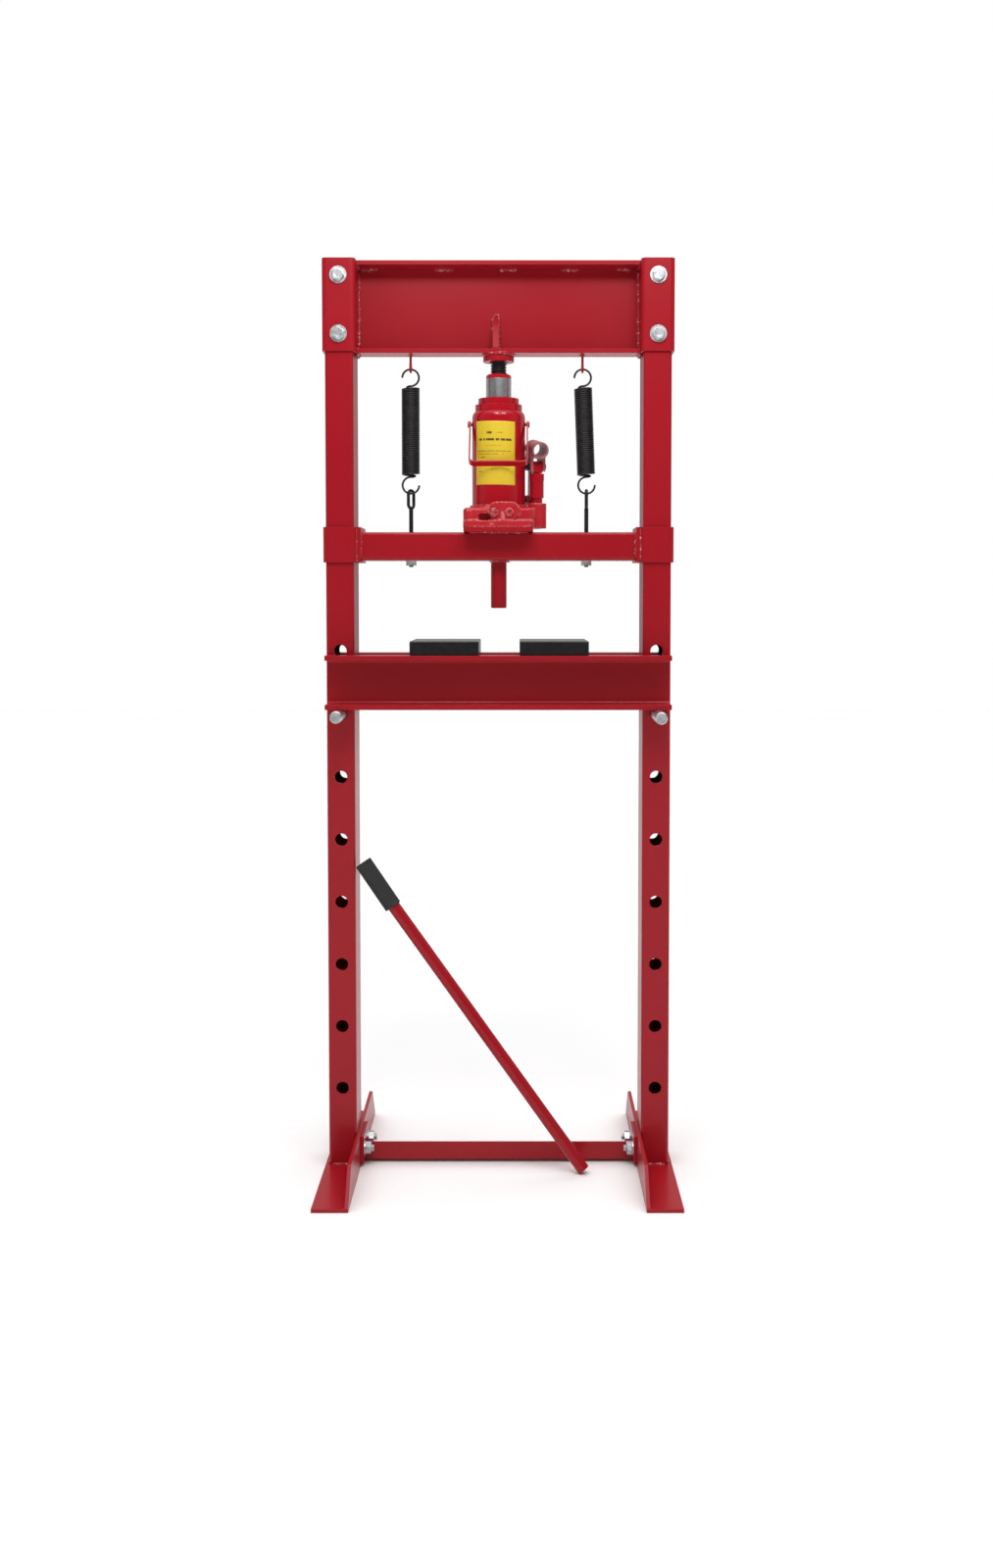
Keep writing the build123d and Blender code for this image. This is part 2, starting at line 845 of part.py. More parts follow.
def make_valve_plug():
    tip = (plug_x, -boss_front + valve_stem_length, valve_level)
    seat = (plug_x, -boss_front, valve_level)
    face = (plug_x, -boss_front - plug_head_length, valve_level)
    plug = rod(valve_stem_radius, tip, seat) + rod(valve_head_diameter / 2, seat, face)
    key = Plane(origin=face, z_dir=(0, 1, 0)) * hexagon(plug_socket_flats, plug_head_length)
    return plug - key


# ---------- Bail ----------
bail_outer = bail_inner + bail_strap
bail_front = reservoir_diameter / 2 + bail_front_gap + bail_width / 2
bail_level = bail_pivot - bail_front_drop


def make_bail():
    """Flat strap bent to a U that hangs forwards from two studs on the reservoir."""
    reach = bail_front + bail_strap
    arm_run = math.hypot(reach, bail_front_drop)
    hang = math.degrees(math.atan2(bail_front_drop, reach))
    flat = extrude(
        Pos(0, -arm_run / 2) * Rectangle(2 * bail_outer, arm_run), amount=bail_width / 2, both=True
    )
    flat = fillet(flat.edges().filter_by(Axis.Z).group_by(Axis.Y)[0], bail_bend)
    hollow = extrude(
        Pos(0, -(arm_run - bail_strap) / 2) * Rectangle(2 * bail_inner, arm_run - bail_strap),
        amount=bail_width,
        both=True,
    )
    hollow = fillet(hollow.edges().filter_by(Axis.Z).group_by(Axis.Y)[0], bail_bend - bail_strap)
    strap = flat - hollow
    for side in (-1, 1):
        strap += rod(bail_width / 2, (side * bail_inner, 0, 0), (side * bail_outer, 0, 0))
    hole = bail_stud_diameter / 2 + bail_pivot_clearance
    strap -= rod(hole, (-2 * bail_outer, 0, 0), (2 * bail_outer, 0, 0))
    return Pos(0, 0, bail_pivot) * Rot(hang, 0, 0) * strap


def make_bail_studs():
    studs = []
    for side in (-1, 1):
        neck = bail_outer + bail_side_play
        stud = rod(
            bail_stud_diameter / 2,
            (side * (reservoir_diameter / 2 - reservoir_wall), 0, bail_pivot),
            (side * neck, 0, bail_pivot),
        )
        stud -= rod(reservoir_diameter / 2, (0, 0, base_top), (0, 0, reservoir_top))
        stud += rod(
            bail_stud_head / 2,
            (side * neck, 0, bail_pivot),
            (side * (neck + bail_stud_head_length), 0, bail_pivot),
        )
        studs.append(stud)
    return Compound(children=studs)


# ---------- Pump ----------
def make_pump_cylinder():
    bore = plunger_diameter / 2 + plunger_clearance
    floor = pump_bottom + plunger_floor
    neck_top = pump_bottom + pump_neck_height
    barrel_top = neck_top + pump_barrel_height
    body = turned(
        [
            (0, pump_bottom),
            (pump_neck_diameter / 2, pump_bottom),
            (pump_neck_diameter / 2, neck_top),
            (pump_barrel_diameter / 2, neck_top),
            (pump_barrel_diameter / 2, barrel_top),
            (pump_collar_diameter / 2, barrel_top),
            (pump_collar_diameter / 2, pump_top),
            (bore, pump_top),
            (bore, floor),
            (0, floor),
        ]
    )
    return pump_frame * body


def pump_pin(u, level, reach):
    """Cross pin of the pump with a head at each end, in the pump's own frame."""
    pin = rod(pump_pin_radius, (u, -reach, level), (u, reach, level))
    for side in (-1, 1):
        end = side * (reach + pump_pin_head_length)
        pin += rod(pump_pin_head / 2, (u, side * reach, level), (u, end, level))
    return pin


def make_plunger():
    stem = rod(
        plunger_diameter / 2,
        (0, 0, pump_bottom + plunger_floor + plunger_head_gap),
        (0, 0, plunger_head_bottom),
    )
    half_u = plunger_head_length / 2
    half_v = plunger_head_width / 2
    top = plunger_head_bottom + plunger_head_height
    head = block((-half_u, half_u), (-half_v, half_v), (plunger_head_bottom, top))
    head = fillet(head.edges().filter_by(Axis.Y).group_by(Axis.Z)[-1], half_u - 1.0)
    head -= rod(pump_pin_radius, (0, -half_v, plunger_pin_level), (0, half_v, plunger_pin_level))
    return pump_frame * (stem + head)


def make_link():
    """Bar from the base's lugs up to the rear pin of the handle socket."""
    half = link_width / 2
    half_v = cheek_inner - link_play
    top = (-link_offset, link_top_level)
    foot = (-link_foot_offset, link_foot_level)
    bar = sheet_prism(
        Plane.XZ,
        [
            (foot[0] - half, foot[1]),
            (foot[0] + half, foot[1]),
            (top[0] + half, top[1]),
            (top[0] - half, top[1]),
        ],
        2 * half_v,
    )
    for u, level in (top, foot):
        bar += rod(half, (u, -half_v, level), (u, half_v, level))
    bar -= rod(pump_pin_radius, (top[0], -half_v, top[1]), (top[0], half_v, top[1]))
    foot_hole = pump_pin_radius + pump_pin_clearance
    bar -= rod(foot_hole, (foot[0], -half_v, foot[1]), (foot[0], half_v, foot[1]))
    return pump_frame * bar


handle_level = plunger_pin_level + handle_rise
handle_outer = handle_bore / 2 + handle_wall


def make_handle_socket():
    """Tube for the pump lever on two cheeks that hold the plunger's and the link's pins."""
    rear = -link_offset - link_width / 2 - 1.0
    front = plunger_head_length / 2 + 1.0
    outline = [
        (rear, link_top_level - link_width / 2),
        (front, plunger_head_bottom + 2.0),
        (front, handle_level - handle_outer / 2),
        (front - 2.0, handle_level),
        (rear + 6.0, handle_level),
        (rear, link_top_level + link_width / 2),
    ]
    cheeks = sheet_prism(Plane.XZ, outline, 2 * cheek_outer)
    gap = block(
        (2 * rear, -2 * rear),
        (-cheek_inner, cheek_inner),
        (plunger_head_bottom - 5.0, handle_level - handle_outer + 1.0),
    )
    cheeks -= gap
    slope = math.radians(handle_tilt)
    run = Vector(math.cos(slope), 0, -math.sin(slope)) * (handle_length / 2)
    middle = Vector(0, 0, handle_level)
    ends = (tuple(middle - run), tuple(middle + run))
    socket = cheeks + rod(handle_outer, *ends)
    socket -= rod(handle_bore / 2, *ends)
    pin_hole = pump_pin_radius + pump_pin_clearance
    socket -= rod(
        pin_hole,
        (-link_offset, -2 * cheek_outer, link_top_level),
        (-link_offset, 2 * cheek_outer, link_top_level),
    )
    slot = SlotOverall(2 * (pin_hole + pin_slot_length), 2 * (pin_hole + pin_slot_rise))
    slot_cut = extrude(Plane.XZ * slot, amount=2 * cheek_outer, both=True)
    return pump_frame * (socket - Pos(0, 0, plunger_pin_level) * slot_cut)


# ---------- Table, blocks, pins and lever ----------
def make_channel(side):
    """Rolled channel along X with its web against the columns and its flanges outwards."""
    inner = side * channel_inner
    web = side * (channel_inner + channel_web)
    tip = side * (channel_inner + channel_flange)
    floor = table_bottom + channel_flange_thickness
    ceiling = table_top - channel_flange_thickness
    outline = Polyline(
        (inner, table_bottom),
        (tip, table_bottom),
        (tip, floor),
        (web, floor),
        (web, ceiling),
        (tip, ceiling),
        (tip, table_top),
        (inner, table_top),
        close=True,
    )
    channel = extrude(Plane.YZ * make_face(outline), amount=table_length / 2, both=True)
    inner_edges = [
        edge
        for edge in channel.edges().filter_by(Axis.X)
        if abs(edge.center().Y - web) < 0.01
    ]
    return fillet(inner_edges, channel_fillet)


def make_spacers():
    """Plates welded between the two channels, just inside the columns."""
    middle = (table_bottom + table_top) / 2
    plates = []
    for side in (-1, 1):
        outer = column_inner - spacer_gap
        edges = sorted((side * outer, side * (outer - spacer_thickness)))
        plates.append(
            block(
                edges,
                (-channel_inner, channel_inner),
                (middle - spacer_height / 2, middle + spacer_height / 2),
            )
        )
    return Compound(children=plates)


def make_press_block(x):
    plate = Pos(x, block_y, table_top + block_height / 2) * Box(block_length, block_width, block_height)
    return chamfer(plate.edges(), block_chamfer)


def make_support_pin(side, front):
    x = side * column_x
    pin = rod(
        support_pin_diameter / 2,
        (x, front, table_pin_level),
        (x, front + support_pin_length, table_pin_level),
    )
    return chamfer(pin.edges().filter_by(GeomType.CIRCLE), support_pin_chamfer)


lean = math.radians(lever_lean)
slant = math.radians(lever_slant)
lever_run = Vector(-math.sin(lean) * math.cos(slant), math.sin(slant), math.cos(lean) * math.cos(slant))
grip_radius = grip_diameter / 2
# Side clearance of the grip's tilted end disc, towards the column and down to the floor.
grip_side = grip_radius * math.sqrt(1 - lever_run.X**2)
lever_top_x = -column_inner + grip_side + lever_gap
lever_foot_z = lever_diameter / 2 * math.sqrt(1 - lever_run.Z**2) + lever_gap
lever_top = Vector(lever_top_x, lever_top_y, lever_foot_z + lever_run.Z * lever_length)


def along_lever(distance):
    """Point on the lever's centre line, measured down from its upper end."""
    return tuple(lever_top - lever_run * distance)


def make_lever_tube():
    upper = along_lever(grip_cap)
    lower = along_lever(lever_length)
    tube = rod(lever_diameter / 2, upper, lower)
    return tube - rod(lever_diameter / 2 - lever_wall, upper, lower)


def make_lever_grip():
    sleeve = rod(grip_radius, along_lever(0), along_lever(grip_length))
    return sleeve - rod(lever_diameter / 2, along_lever(grip_cap), along_lever(grip_length))


# ---------- Every node ----------
for side, name in ((-1, "left"), (1, "right")):
    save(f"column_{name}", make_column(side))
    save(f"foot_{name}", make_foot(side))
    save(f"head_bracket_{name}", make_bracket(side))
    save(f"guide_sleeve_{name}", make_sleeve(side))
    save(f"return_spring_{name}", make_spring(name))

save("crossbar", make_crossbar())
save("crossbar_end_plates", Compound(children=[make_crossbar_plate(side) for side in (-1, 1)]))
head_span = (-head_half, head_half)
save("head_top_plate", block(head_span, (-head_back, head_back), (head_ceiling, overall_height)))
save("head_bottom_plate", block(head_span, (-head_back, head_back), (head_bottom, head_floor)))
save("head_web", block(head_span, (web_front, head_back), (head_floor, head_ceiling)))
save("head_gusset", make_gusset())
save("jack_socket", make_jack_socket())
save("spring_loops", make_spring_loops())
save_fasteners()

save("ram", make_ram())
save("ram_collar", make_ram_collar())
save("ram_piston", make_piston())
save("ram_seal", make_ram_seal())
save("extension_screw", make_extension_screw())

save("press_beam", make_press_beam())
save("beam_end_plates", make_beam_end_plates())
tray_half = tray_width / 2
tray_reach = tray_depth / 2
save("jack_tray", block((-tray_half, tray_half), (-tray_reach, tray_reach), (beam_top, jack_bottom)))
save("arbor", make_arbor())
eye_bolts = [
    make_eye_bolt(spring_feet["left"], left_eye_turn),
    make_eye_bolt(spring_feet["right"], right_eye_turn),
]
save("eye_bolts", Compound(children=eye_bolts))
save("eye_bolt_nuts", make_eye_nuts())

save("jack_base", make_jack_base())
save("jack_reservoir", make_reservoir())
save("jack_inner_cylinder", make_inner_cylinder())
save("jack_cap", make_cap())
save("jack_label", make_label())
save("filler_plug", make_filler_plug())
save("valve_plug", make_valve_plug())
save("release_valve", make_release_valve())
save("bail", make_bail())
save("bail_studs", make_bail_studs())

save("pump_cylinder", make_pump_cylinder())
save("pump_plunger", make_plunger())
pin_reach = cheek_outer + pump_pin_play
save("plunger_pin", pump_frame * pump_pin(0, plunger_pin_level, pin_reach))
save("pump_link", make_link())
save("link_top_pin", pump_frame * pump_pin(-link_offset, link_top_level, pin_reach))
save("link_foot_pin", pump_frame * pump_pin(-link_foot_offset, link_foot_level, cheek_outer))
save("handle_socket", make_handle_socket())

save("table_channel_front", make_channel(-1))
save("table_channel_rear", make_channel(1))
save("table_spacers", make_spacers())
save("press_block_left", make_press_block(left_block_x))
save("press_block_right", make_press_block(right_block_x))
save("support_pin_left", make_support_pin(-1, left_pin_front))
save("support_pin_right", make_support_pin(1, right_pin_front))
save("lever_tube", make_lever_tube())
save("lever_grip", make_lever_grip())
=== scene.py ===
import math
import bpy
import numpy as np
from mathutils import Matrix, Vector


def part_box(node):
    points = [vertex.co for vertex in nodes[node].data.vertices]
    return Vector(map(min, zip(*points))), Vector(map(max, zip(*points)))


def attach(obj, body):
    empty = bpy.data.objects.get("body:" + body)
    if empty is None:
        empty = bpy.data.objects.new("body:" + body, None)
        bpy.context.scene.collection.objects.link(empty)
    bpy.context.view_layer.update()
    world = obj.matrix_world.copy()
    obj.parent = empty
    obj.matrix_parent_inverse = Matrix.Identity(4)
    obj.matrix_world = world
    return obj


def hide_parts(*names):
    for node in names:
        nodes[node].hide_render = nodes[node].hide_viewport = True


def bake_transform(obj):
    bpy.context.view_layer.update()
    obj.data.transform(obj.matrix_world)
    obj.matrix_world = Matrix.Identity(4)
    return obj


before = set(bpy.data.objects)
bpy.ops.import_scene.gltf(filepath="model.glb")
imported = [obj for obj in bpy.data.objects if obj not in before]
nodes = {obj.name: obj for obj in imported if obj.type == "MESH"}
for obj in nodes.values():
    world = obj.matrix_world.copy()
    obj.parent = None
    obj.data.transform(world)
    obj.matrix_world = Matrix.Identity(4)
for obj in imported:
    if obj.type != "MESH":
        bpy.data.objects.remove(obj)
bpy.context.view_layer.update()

# Workshop press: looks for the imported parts, plus welds, springs, threads, fasteners, label and grip.
# Metres, in the press's own frame: X to the right, Y to the back, Z up from the floor.

mm = 0.001


# Empty shader node group with named float, colour or vector sockets.
def newGroup(name, inputs, outputs):
    group = bpy.data.node_groups.new(name, "ShaderNodeTree")
    for label, kind, value in inputs:
        socket = group.interface.new_socket(name=label, in_out="INPUT", socket_type="NodeSocket" + kind)
        if value is not None:
            socket.default_value = value
    for label, kind in outputs:
        group.interface.new_socket(name=label, in_out="OUTPUT", socket_type="NodeSocket" + kind)
    return group, group.nodes.new("NodeGroupInput"), group.nodes.new("NodeGroupOutput")


# New node of a kind, with its settings.
def addNode(tree, kind, **settings):
    node = tree.nodes.new("ShaderNode" + kind)
    for key, value in settings.items():
        setattr(node, key, value)
    return node


# Joins a socket to another one, or sets it to a plain value.
def feed(tree, socket, value):
    if isinstance(value, bpy.types.NodeSocket):
        tree.links.new(value, socket)
    else:
        socket.default_value = value


# One sum of up to three values: a, b and c joined by the operation.
def sums(tree, operation, a, b=None, c=None, clamp=False):
    node = addNode(tree, "Math", operation=operation, use_clamp=clamp)
    for socket, value in zip(node.inputs, (a, b, c)):
        if value is not None:
            feed(tree, socket, value)
    return node.outputs[0]


# Soft noise at a place, with that many bumps to the metre.
def noise(tree, place, scale, detail=2.0, rough=0.5):
    node = addNode(tree, "TexNoise")
    feed(tree, node.inputs["Vector"], place)
    feed(tree, node.inputs["Scale"], scale)
    node.inputs["Detail"].default_value = detail
    node.inputs["Roughness"].default_value = rough
    return node.outputs["Fac"]


# Straight-line rescale of a value, held inside its limits.
def spread(tree, value, low, high, outLow=0.0, outHigh=1.0):
    node = addNode(tree, "MapRange")
    for socket, number in zip(node.inputs, (value, low, high, outLow, outHigh)):
        feed(tree, socket, number)
    return node.outputs[0]


# Colour a + share (b - a).
def mixColour(tree, share, a, b, blend="MIX"):
    node = addNode(tree, "Mix", data_type="RGBA", blend_type=blend)
    feed(tree, node.inputs[0], share)
    feed(tree, node.inputs[6], a)
    feed(tree, node.inputs[7], b)
    return node.outputs[2]


# A group node with its inputs joined or set by name.
def useGroup(tree, group, **values):
    node = tree.nodes.new("ShaderNodeGroup")
    node.node_tree = group
    for label, value in values.items():
        feed(tree, node.inputs[label], value)
    return node


# Rounded normal near sharp edges, and a mask of the edges broken up by noise.
def makeEdgeGroup():
    group, inside, outside = newGroup(
        "edgeWearAndSheen",
        [("Width", "Float", 0.0012), ("Breakup", "Float", 60.0), ("Reach", "Float", 6.0)],
        [("Mask", "Float"), ("Normal", "Vector")],
    )
    soft = addNode(group, "Bevel", samples=6)
    feed(group, soft.inputs["Radius"], inside.outputs["Width"])
    geometry = addNode(group, "NewGeometry")
    dot = addNode(group, "VectorMath", operation="DOT_PRODUCT")
    feed(group, dot.inputs[0], soft.outputs[0])
    feed(group, dot.inputs[1], geometry.outputs["Normal"])
    turn = sums(group, "SUBTRACT", 1.0, dot.outputs["Value"])
    place = addNode(group, "TexCoord").outputs["Object"]
    patches = spread(group, noise(group, place, inside.outputs["Breakup"], 4.0, 0.6), 0.42, 0.62)
    reached = sums(group, "MULTIPLY", turn, inside.outputs["Reach"], clamp=True)
    feed(group, outside.inputs["Mask"], sums(group, "MULTIPLY", reached, patches, clamp=True))
    feed(group, outside.inputs["Normal"], soft.outputs[0])
    return group


# Ripple of sprayed enamel: two sizes of soft noise added up as a height.
def makePeelGroup():
    group, inside, outside = newGroup(
        "sprayRipple",
        [("Scale", "Float", 320.0), ("Drift", "Float", 14.0)],
        [("Height", "Float"), ("Cloud", "Float")],
    )
    place = addNode(group, "TexCoord").outputs["Object"]
    fine = noise(group, place, inside.outputs["Scale"], 1.0)
    broad = noise(group, place, inside.outputs["Drift"], 3.0, 0.55)
    feed(group, outside.inputs["Height"], fine)
    feed(group, outside.inputs["Cloud"], broad)
    return group


# Drawn or turned metal: noise squeezed along the given axis, as a value and a height.
def makeGrainGroup():
    group, inside, outside = newGroup(
        "metalGrain",
        [("Stretch", "Vector", (1.0, 1.0, 0.05)), ("Scale", "Float", 900.0)],
        [("Streak", "Float"), ("Blotch", "Float")],
    )
    place = addNode(group, "TexCoord").outputs["Object"]
    pulled = addNode(group, "VectorMath", operation="MULTIPLY")
    feed(group, pulled.inputs[0], place)
    feed(group, pulled.inputs[1], inside.outputs["Stretch"])
    streak = noise(group, pulled.outputs[0], inside.outputs["Scale"], 3.0, 0.6)
    feed(group, outside.inputs["Streak"], streak)
    feed(group, outside.inputs["Blotch"], noise(group, place, 130.0, 3.0, 0.6))
    return group


edgeGroup, peelGroup, grainGroup = makeEdgeGroup(), makePeelGroup(), makeGrainGroup()


# Empty material, its node tree and its surface node.
def newMaterial(name):
    material = bpy.data.materials.new(name)
    material.use_nodes = True
    tree = material.node_tree
    shader = next(n for n in tree.nodes if n.type == "BSDF_PRINCIPLED")
    return material, tree, shader


# Turns a height in metres into the surface's normal.
def bumped(tree, shader, height, distance, normal=None, strength=1.0):
    bump = addNode(tree, "Bump")
    bump.inputs["Strength"].default_value = strength
    bump.inputs["Distance"].default_value = distance
    feed(tree, bump.inputs["Height"], height)
    if normal is not None:
        feed(tree, bump.inputs["Normal"], normal)
    feed(tree, shader.inputs["Normal"], bump.outputs[0])


# Sprayed enamel: base colour drifting with broad noise, painted paler along the edges and in chips where
# the noise passes a limit; these pale marks are partly worn paint and partly painted highlight.
def enamel(name, look):
    material, tree, shader = newMaterial(name)
    reach = {"Width": look["edgeWidth"], "Breakup": look["wearScale"], "Reach": look["wearReach"]}
    edge = useGroup(tree, edgeGroup, **reach)
    peel = useGroup(tree, peelGroup, Scale=look["ripple"], Drift=look["drift"])
    body = mixColour(tree, spread(tree, peel.outputs["Cloud"], 0.15, 0.85), look["deep"], look["bright"])
    wornAndSheenEdges = sums(tree, "MULTIPLY", edge.outputs["Mask"], look["wearAndSheenShare"])
    chipAndGlintTo = look["chipAndGlintFrom"] + 0.05
    chipsAndGlints = spread(tree, peel.outputs["Cloud"], look["chipAndGlintFrom"], chipAndGlintTo, 0.0, look["chipAndGlintShare"])
    # pale edges and chips: partly worn paint, partly painted highlight where edges catch the light
    colour = mixColour(tree, sums(tree, "MAXIMUM", wornAndSheenEdges, chipsAndGlints), body, look["wornAndSheen"])
    rough = spread(tree, peel.outputs["Cloud"], 0.15, 0.85, look["rough"] - 0.04, look["rough"] + 0.05)
    feed(tree, shader.inputs["Base Color"], colour)
    feed(tree, shader.inputs["Roughness"], rough)
    shader.inputs["Specular IOR Level"].default_value = look["specular"]
    shader.inputs["Coat Weight"].default_value = look["coat"]
    shader.inputs["Coat Roughness"].default_value = look["coatRough"]
    bumped(tree, shader, peel.outputs["Height"], look["rippleDepth"], edge.outputs["Normal"])
    return material


# Bare or plated steel: streaks change its roughness, blotches its colour.
def metal(name, look):
    material, tree, shader = newMaterial(name)
    edge = useGroup(tree, edgeGroup, Width=look["edgeWidth"], Breakup=90.0, Reach=5.0)
    grain = useGroup(tree, grainGroup, Stretch=look["stretch"], Scale=look["grainScale"])
    tone = mixColour(tree, spread(tree, grain.outputs["Blotch"], 0.35, 0.65), look["dark"], look["light"])
    wornAndSheenEdges = sums(tree, "MULTIPLY", edge.outputs["Mask"], look["wearAndSheenShare"])
    colour = mixColour(tree, wornAndSheenEdges, tone, look["wornAndSheen"])
    rough = spread(tree, grain.outputs["Streak"], 0.3, 0.7, look["roughLow"], look["roughHigh"])
    feed(tree, shader.inputs["Base Color"], colour)
    feed(tree, shader.inputs["Roughness"], rough)
    shader.inputs["Metallic"].default_value = look["metallic"]
    shader.inputs["Specular IOR Level"].default_value = look.get("specular", 0.5)
    bumped(tree, shader, grain.outputs["Streak"], look["grainDepth"], edge.outputs["Normal"])
    return material


paintLook = {
    "deep": (0.325, 0.0050, 0.0120, 1), "bright": (0.368, 0.0075, 0.0155, 1),
    "wornAndSheen": (0.60, 0.060, 0.075, 1),
    "edgeWidth": 0.0011, "wearScale": 45.0, "wearReach": 5.0, "wearAndSheenShare": 0.35,
    "ripple": 420.0, "rippleDepth": 0.00004, "drift": 5.0, "chipAndGlintFrom": 0.9, "chipAndGlintShare": 0.0,
    "rough": 0.33, "specular": 0.18, "coat": 0.15, "coatRough": 0.07,
}
framePaint = enamel("framePaint", paintLook)
jackPaint = enamel("jackPaint", dict(
    paintLook, deep=(0.37, 0.0045, 0.0120, 1), bright=(0.43, 0.0075, 0.0170, 1),
    wornAndSheen=(0.70, 0.12, 0.13, 1),
    edgeWidth=0.0008, wearScale=160.0, wearReach=9.0, wearAndSheenShare=0.6, ripple=260.0, drift=22.0,
    rough=0.2, coat=0.45, coatRough=0.06,
))
# Cast base and pump parts: pale pink chips and worn edges round the bosses, partly chipped paint and partly
# painted highlights where edges catch the light.
castPaint = enamel("castPaint", dict(
    paintLook, deep=(0.42, 0.0080, 0.0160, 1), bright=(0.54, 0.0260, 0.0360, 1),
    wornAndSheen=(0.80, 0.40, 0.40, 1),
    edgeWidth=0.0024, wearScale=240.0, wearReach=18.0, wearAndSheenShare=0.9, ripple=300.0, rippleDepth=0.0004,
    drift=70.0, rough=0.33, coat=0.4, coatRough=0.1, chipAndGlintFrom=0.65, chipAndGlintShare=0.4,
))
# Handle socket: paler, pinkish-grey enamel that drifts with broad noise, with pale edges.
paleSocketPaint = enamel("paleSocketPaint", dict(
    paintLook, deep=(0.34, 0.0250, 0.0350, 1), bright=(0.42, 0.1800, 0.1900, 1),
    wornAndSheen=(0.48, 0.30, 0.30, 1), edgeWidth=0.0016, wearScale=120.0, wearReach=14.0, wearAndSheenShare=0.9,
    ripple=300.0, drift=70.0, rough=0.36, coat=0.05,
))
# Weld beads: pale pink chips and edges, partly chipped paint and partly painted highlights for the glints
# on the beads.
weldPaint = enamel("weldPaint", dict(
    paintLook, deep=(0.30, 0.0030, 0.0100, 1), bright=(0.43, 0.032, 0.042, 1),
    wornAndSheen=(0.76, 0.36, 0.36, 1), edgeWidth=0.0006, wearScale=300.0, wearReach=11.0, wearAndSheenShare=0.6,
    ripple=700.0, rippleDepth=0.00025, drift=190.0, rough=0.34, coat=0.4, chipAndGlintFrom=0.58, chipAndGlintShare=0.8,
))
metalLook = {
    "dark": (0.44, 0.45, 0.47, 1), "light": (0.76, 0.77, 0.79, 1), "wornAndSheen": (0.85, 0.85, 0.86, 1),
    "edgeWidth": 0.0004, "wearAndSheenShare": 0.5, "stretch": (1.0, 1.0, 1.0), "grainScale": 700.0,
    "grainDepth": 0.00002, "roughLow": 0.29, "roughHigh": 0.44, "metallic": 1.0,
}
zinc = metal("zincPlate", metalLook)
chrome = metal("hardChrome", dict(
    metalLook, dark=(0.46, 0.46, 0.48, 1), light=(0.62, 0.62, 0.65, 1), stretch=(9.0, 9.0, 0.4),
    grainScale=300.0, grainDepth=0.000004, roughLow=0.28, roughHigh=0.36,
))
machined = metal("turnedSteel", dict(
    metalLook, dark=(0.52, 0.52, 0.53, 1), light=(0.66, 0.66, 0.67, 1), stretch=(0.08, 0.08, 1.0),
    grainScale=1600.0, grainDepth=0.00002, roughLow=0.28, roughHigh=0.38,
))
blackLacquer = metal("blackLacquer", dict(
    metalLook, dark=(0.0085, 0.0085, 0.0095, 1), light=(0.017, 0.017, 0.018, 1),
    wornAndSheen=(0.09, 0.09, 0.095, 1),
    wearAndSheenShare=0.35, metallic=0.0, roughLow=0.29, roughHigh=0.42, grainScale=260.0, specular=0.3,
))
blackBlock = metal("blackOxide", dict(
    metalLook, dark=(0.0050, 0.0052, 0.0060, 1), light=(0.0095, 0.0095, 0.0110, 1),
    wornAndSheen=(0.14, 0.14, 0.145, 1),
    edgeWidth=0.0009, wearAndSheenShare=0.3, metallic=0.0, roughLow=0.20, roughHigh=0.26, grainScale=200.0,
    grainDepth=0.00004, specular=0.46,
))


# Moulded rubber: near black, its colour and roughness drifting with noise, a fine noise as its height.
def makeRubber():
    material, tree, shader = newMaterial("blackRubber")
    place = addNode(tree, "TexCoord").outputs["Object"]
    cloud = noise(tree, place, 90.0, 4.0, 0.6)
    tone = mixColour(tree, cloud, (0.010, 0.010, 0.011, 1), (0.026, 0.026, 0.028, 1))
    feed(tree, shader.inputs["Base Color"], tone)
    feed(tree, shader.inputs["Roughness"], spread(tree, cloud, 0.3, 0.7, 0.55, 0.8))
    bumped(tree, shader, noise(tree, place, 1500.0, 3.0, 0.6), 0.00012)
    return material


rubber = makeRubber()
finishes = {
    "frame_paint": framePaint, "jack_paint": jackPaint, "zinc": zinc, "chrome": chrome,
    "machined_steel": machined, "black_steel": blackLacquer, "rubber": rubber, "label": None,
}
nodeFinish = {
    "press_block_left": blackBlock, "press_block_right": blackBlock, "jack_base": castPaint,
    "pump_link": castPaint, "handle_socket": paleSocketPaint, "release_valve": castPaint, "valve_plug": castPaint,
}
for name, node in nodes.items():
    for slot in node.material_slots:
        finish = nodeFinish.get(name) or finishes.get(slot.material.name.split(".")[0])
        if finish is not None:
            slot.link = "OBJECT"
            slot.material = finish
print("finishes on", len(nodes), "parts")


# Mesh object from whole arrays of points and faces, given a finish and a body to ride on.
def meshPiece(name, points, faces, material, body=None, slot=None, smooth=True, uv=None):
    mesh = bpy.data.meshes.new(name)
    mesh.from_pydata(points.tolist(), [], [list(f) for f in faces])
    mesh.polygons.foreach_set("use_smooth", np.full(len(mesh.polygons), smooth))
    if uv is not None:
        layer = mesh.uv_layers.new(name="UVMap")
        corner = np.zeros(len(mesh.loops), np.int32)
        mesh.loops.foreach_get("vertex_index", corner)
        layer.data.foreach_set("uv", uv[corner].astype(np.float32).ravel())
    mesh.update()
    piece = bpy.data.objects.new(name, mesh)
    bpy.context.scene.collection.objects.link(piece)
    mesh.materials.append(material)
    if body:
        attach(piece, body)
    return piece


# Quads between rows of points: row i meets row i + 1, and the last column meets the first when wrapped.
def gridFaces(rows, columns, wrap=True, start=0):
    i, j = np.meshgrid(np.arange(rows - 1), np.arange(columns if wrap else columns - 1), indexing="ij")
    k = (j + 1) % columns
    quads = np.stack([i * columns + j, i * columns + k, (i + 1) * columns + k, (i + 1) * columns + j], -1)
    return (quads.reshape(-1, 4) + start).tolist()


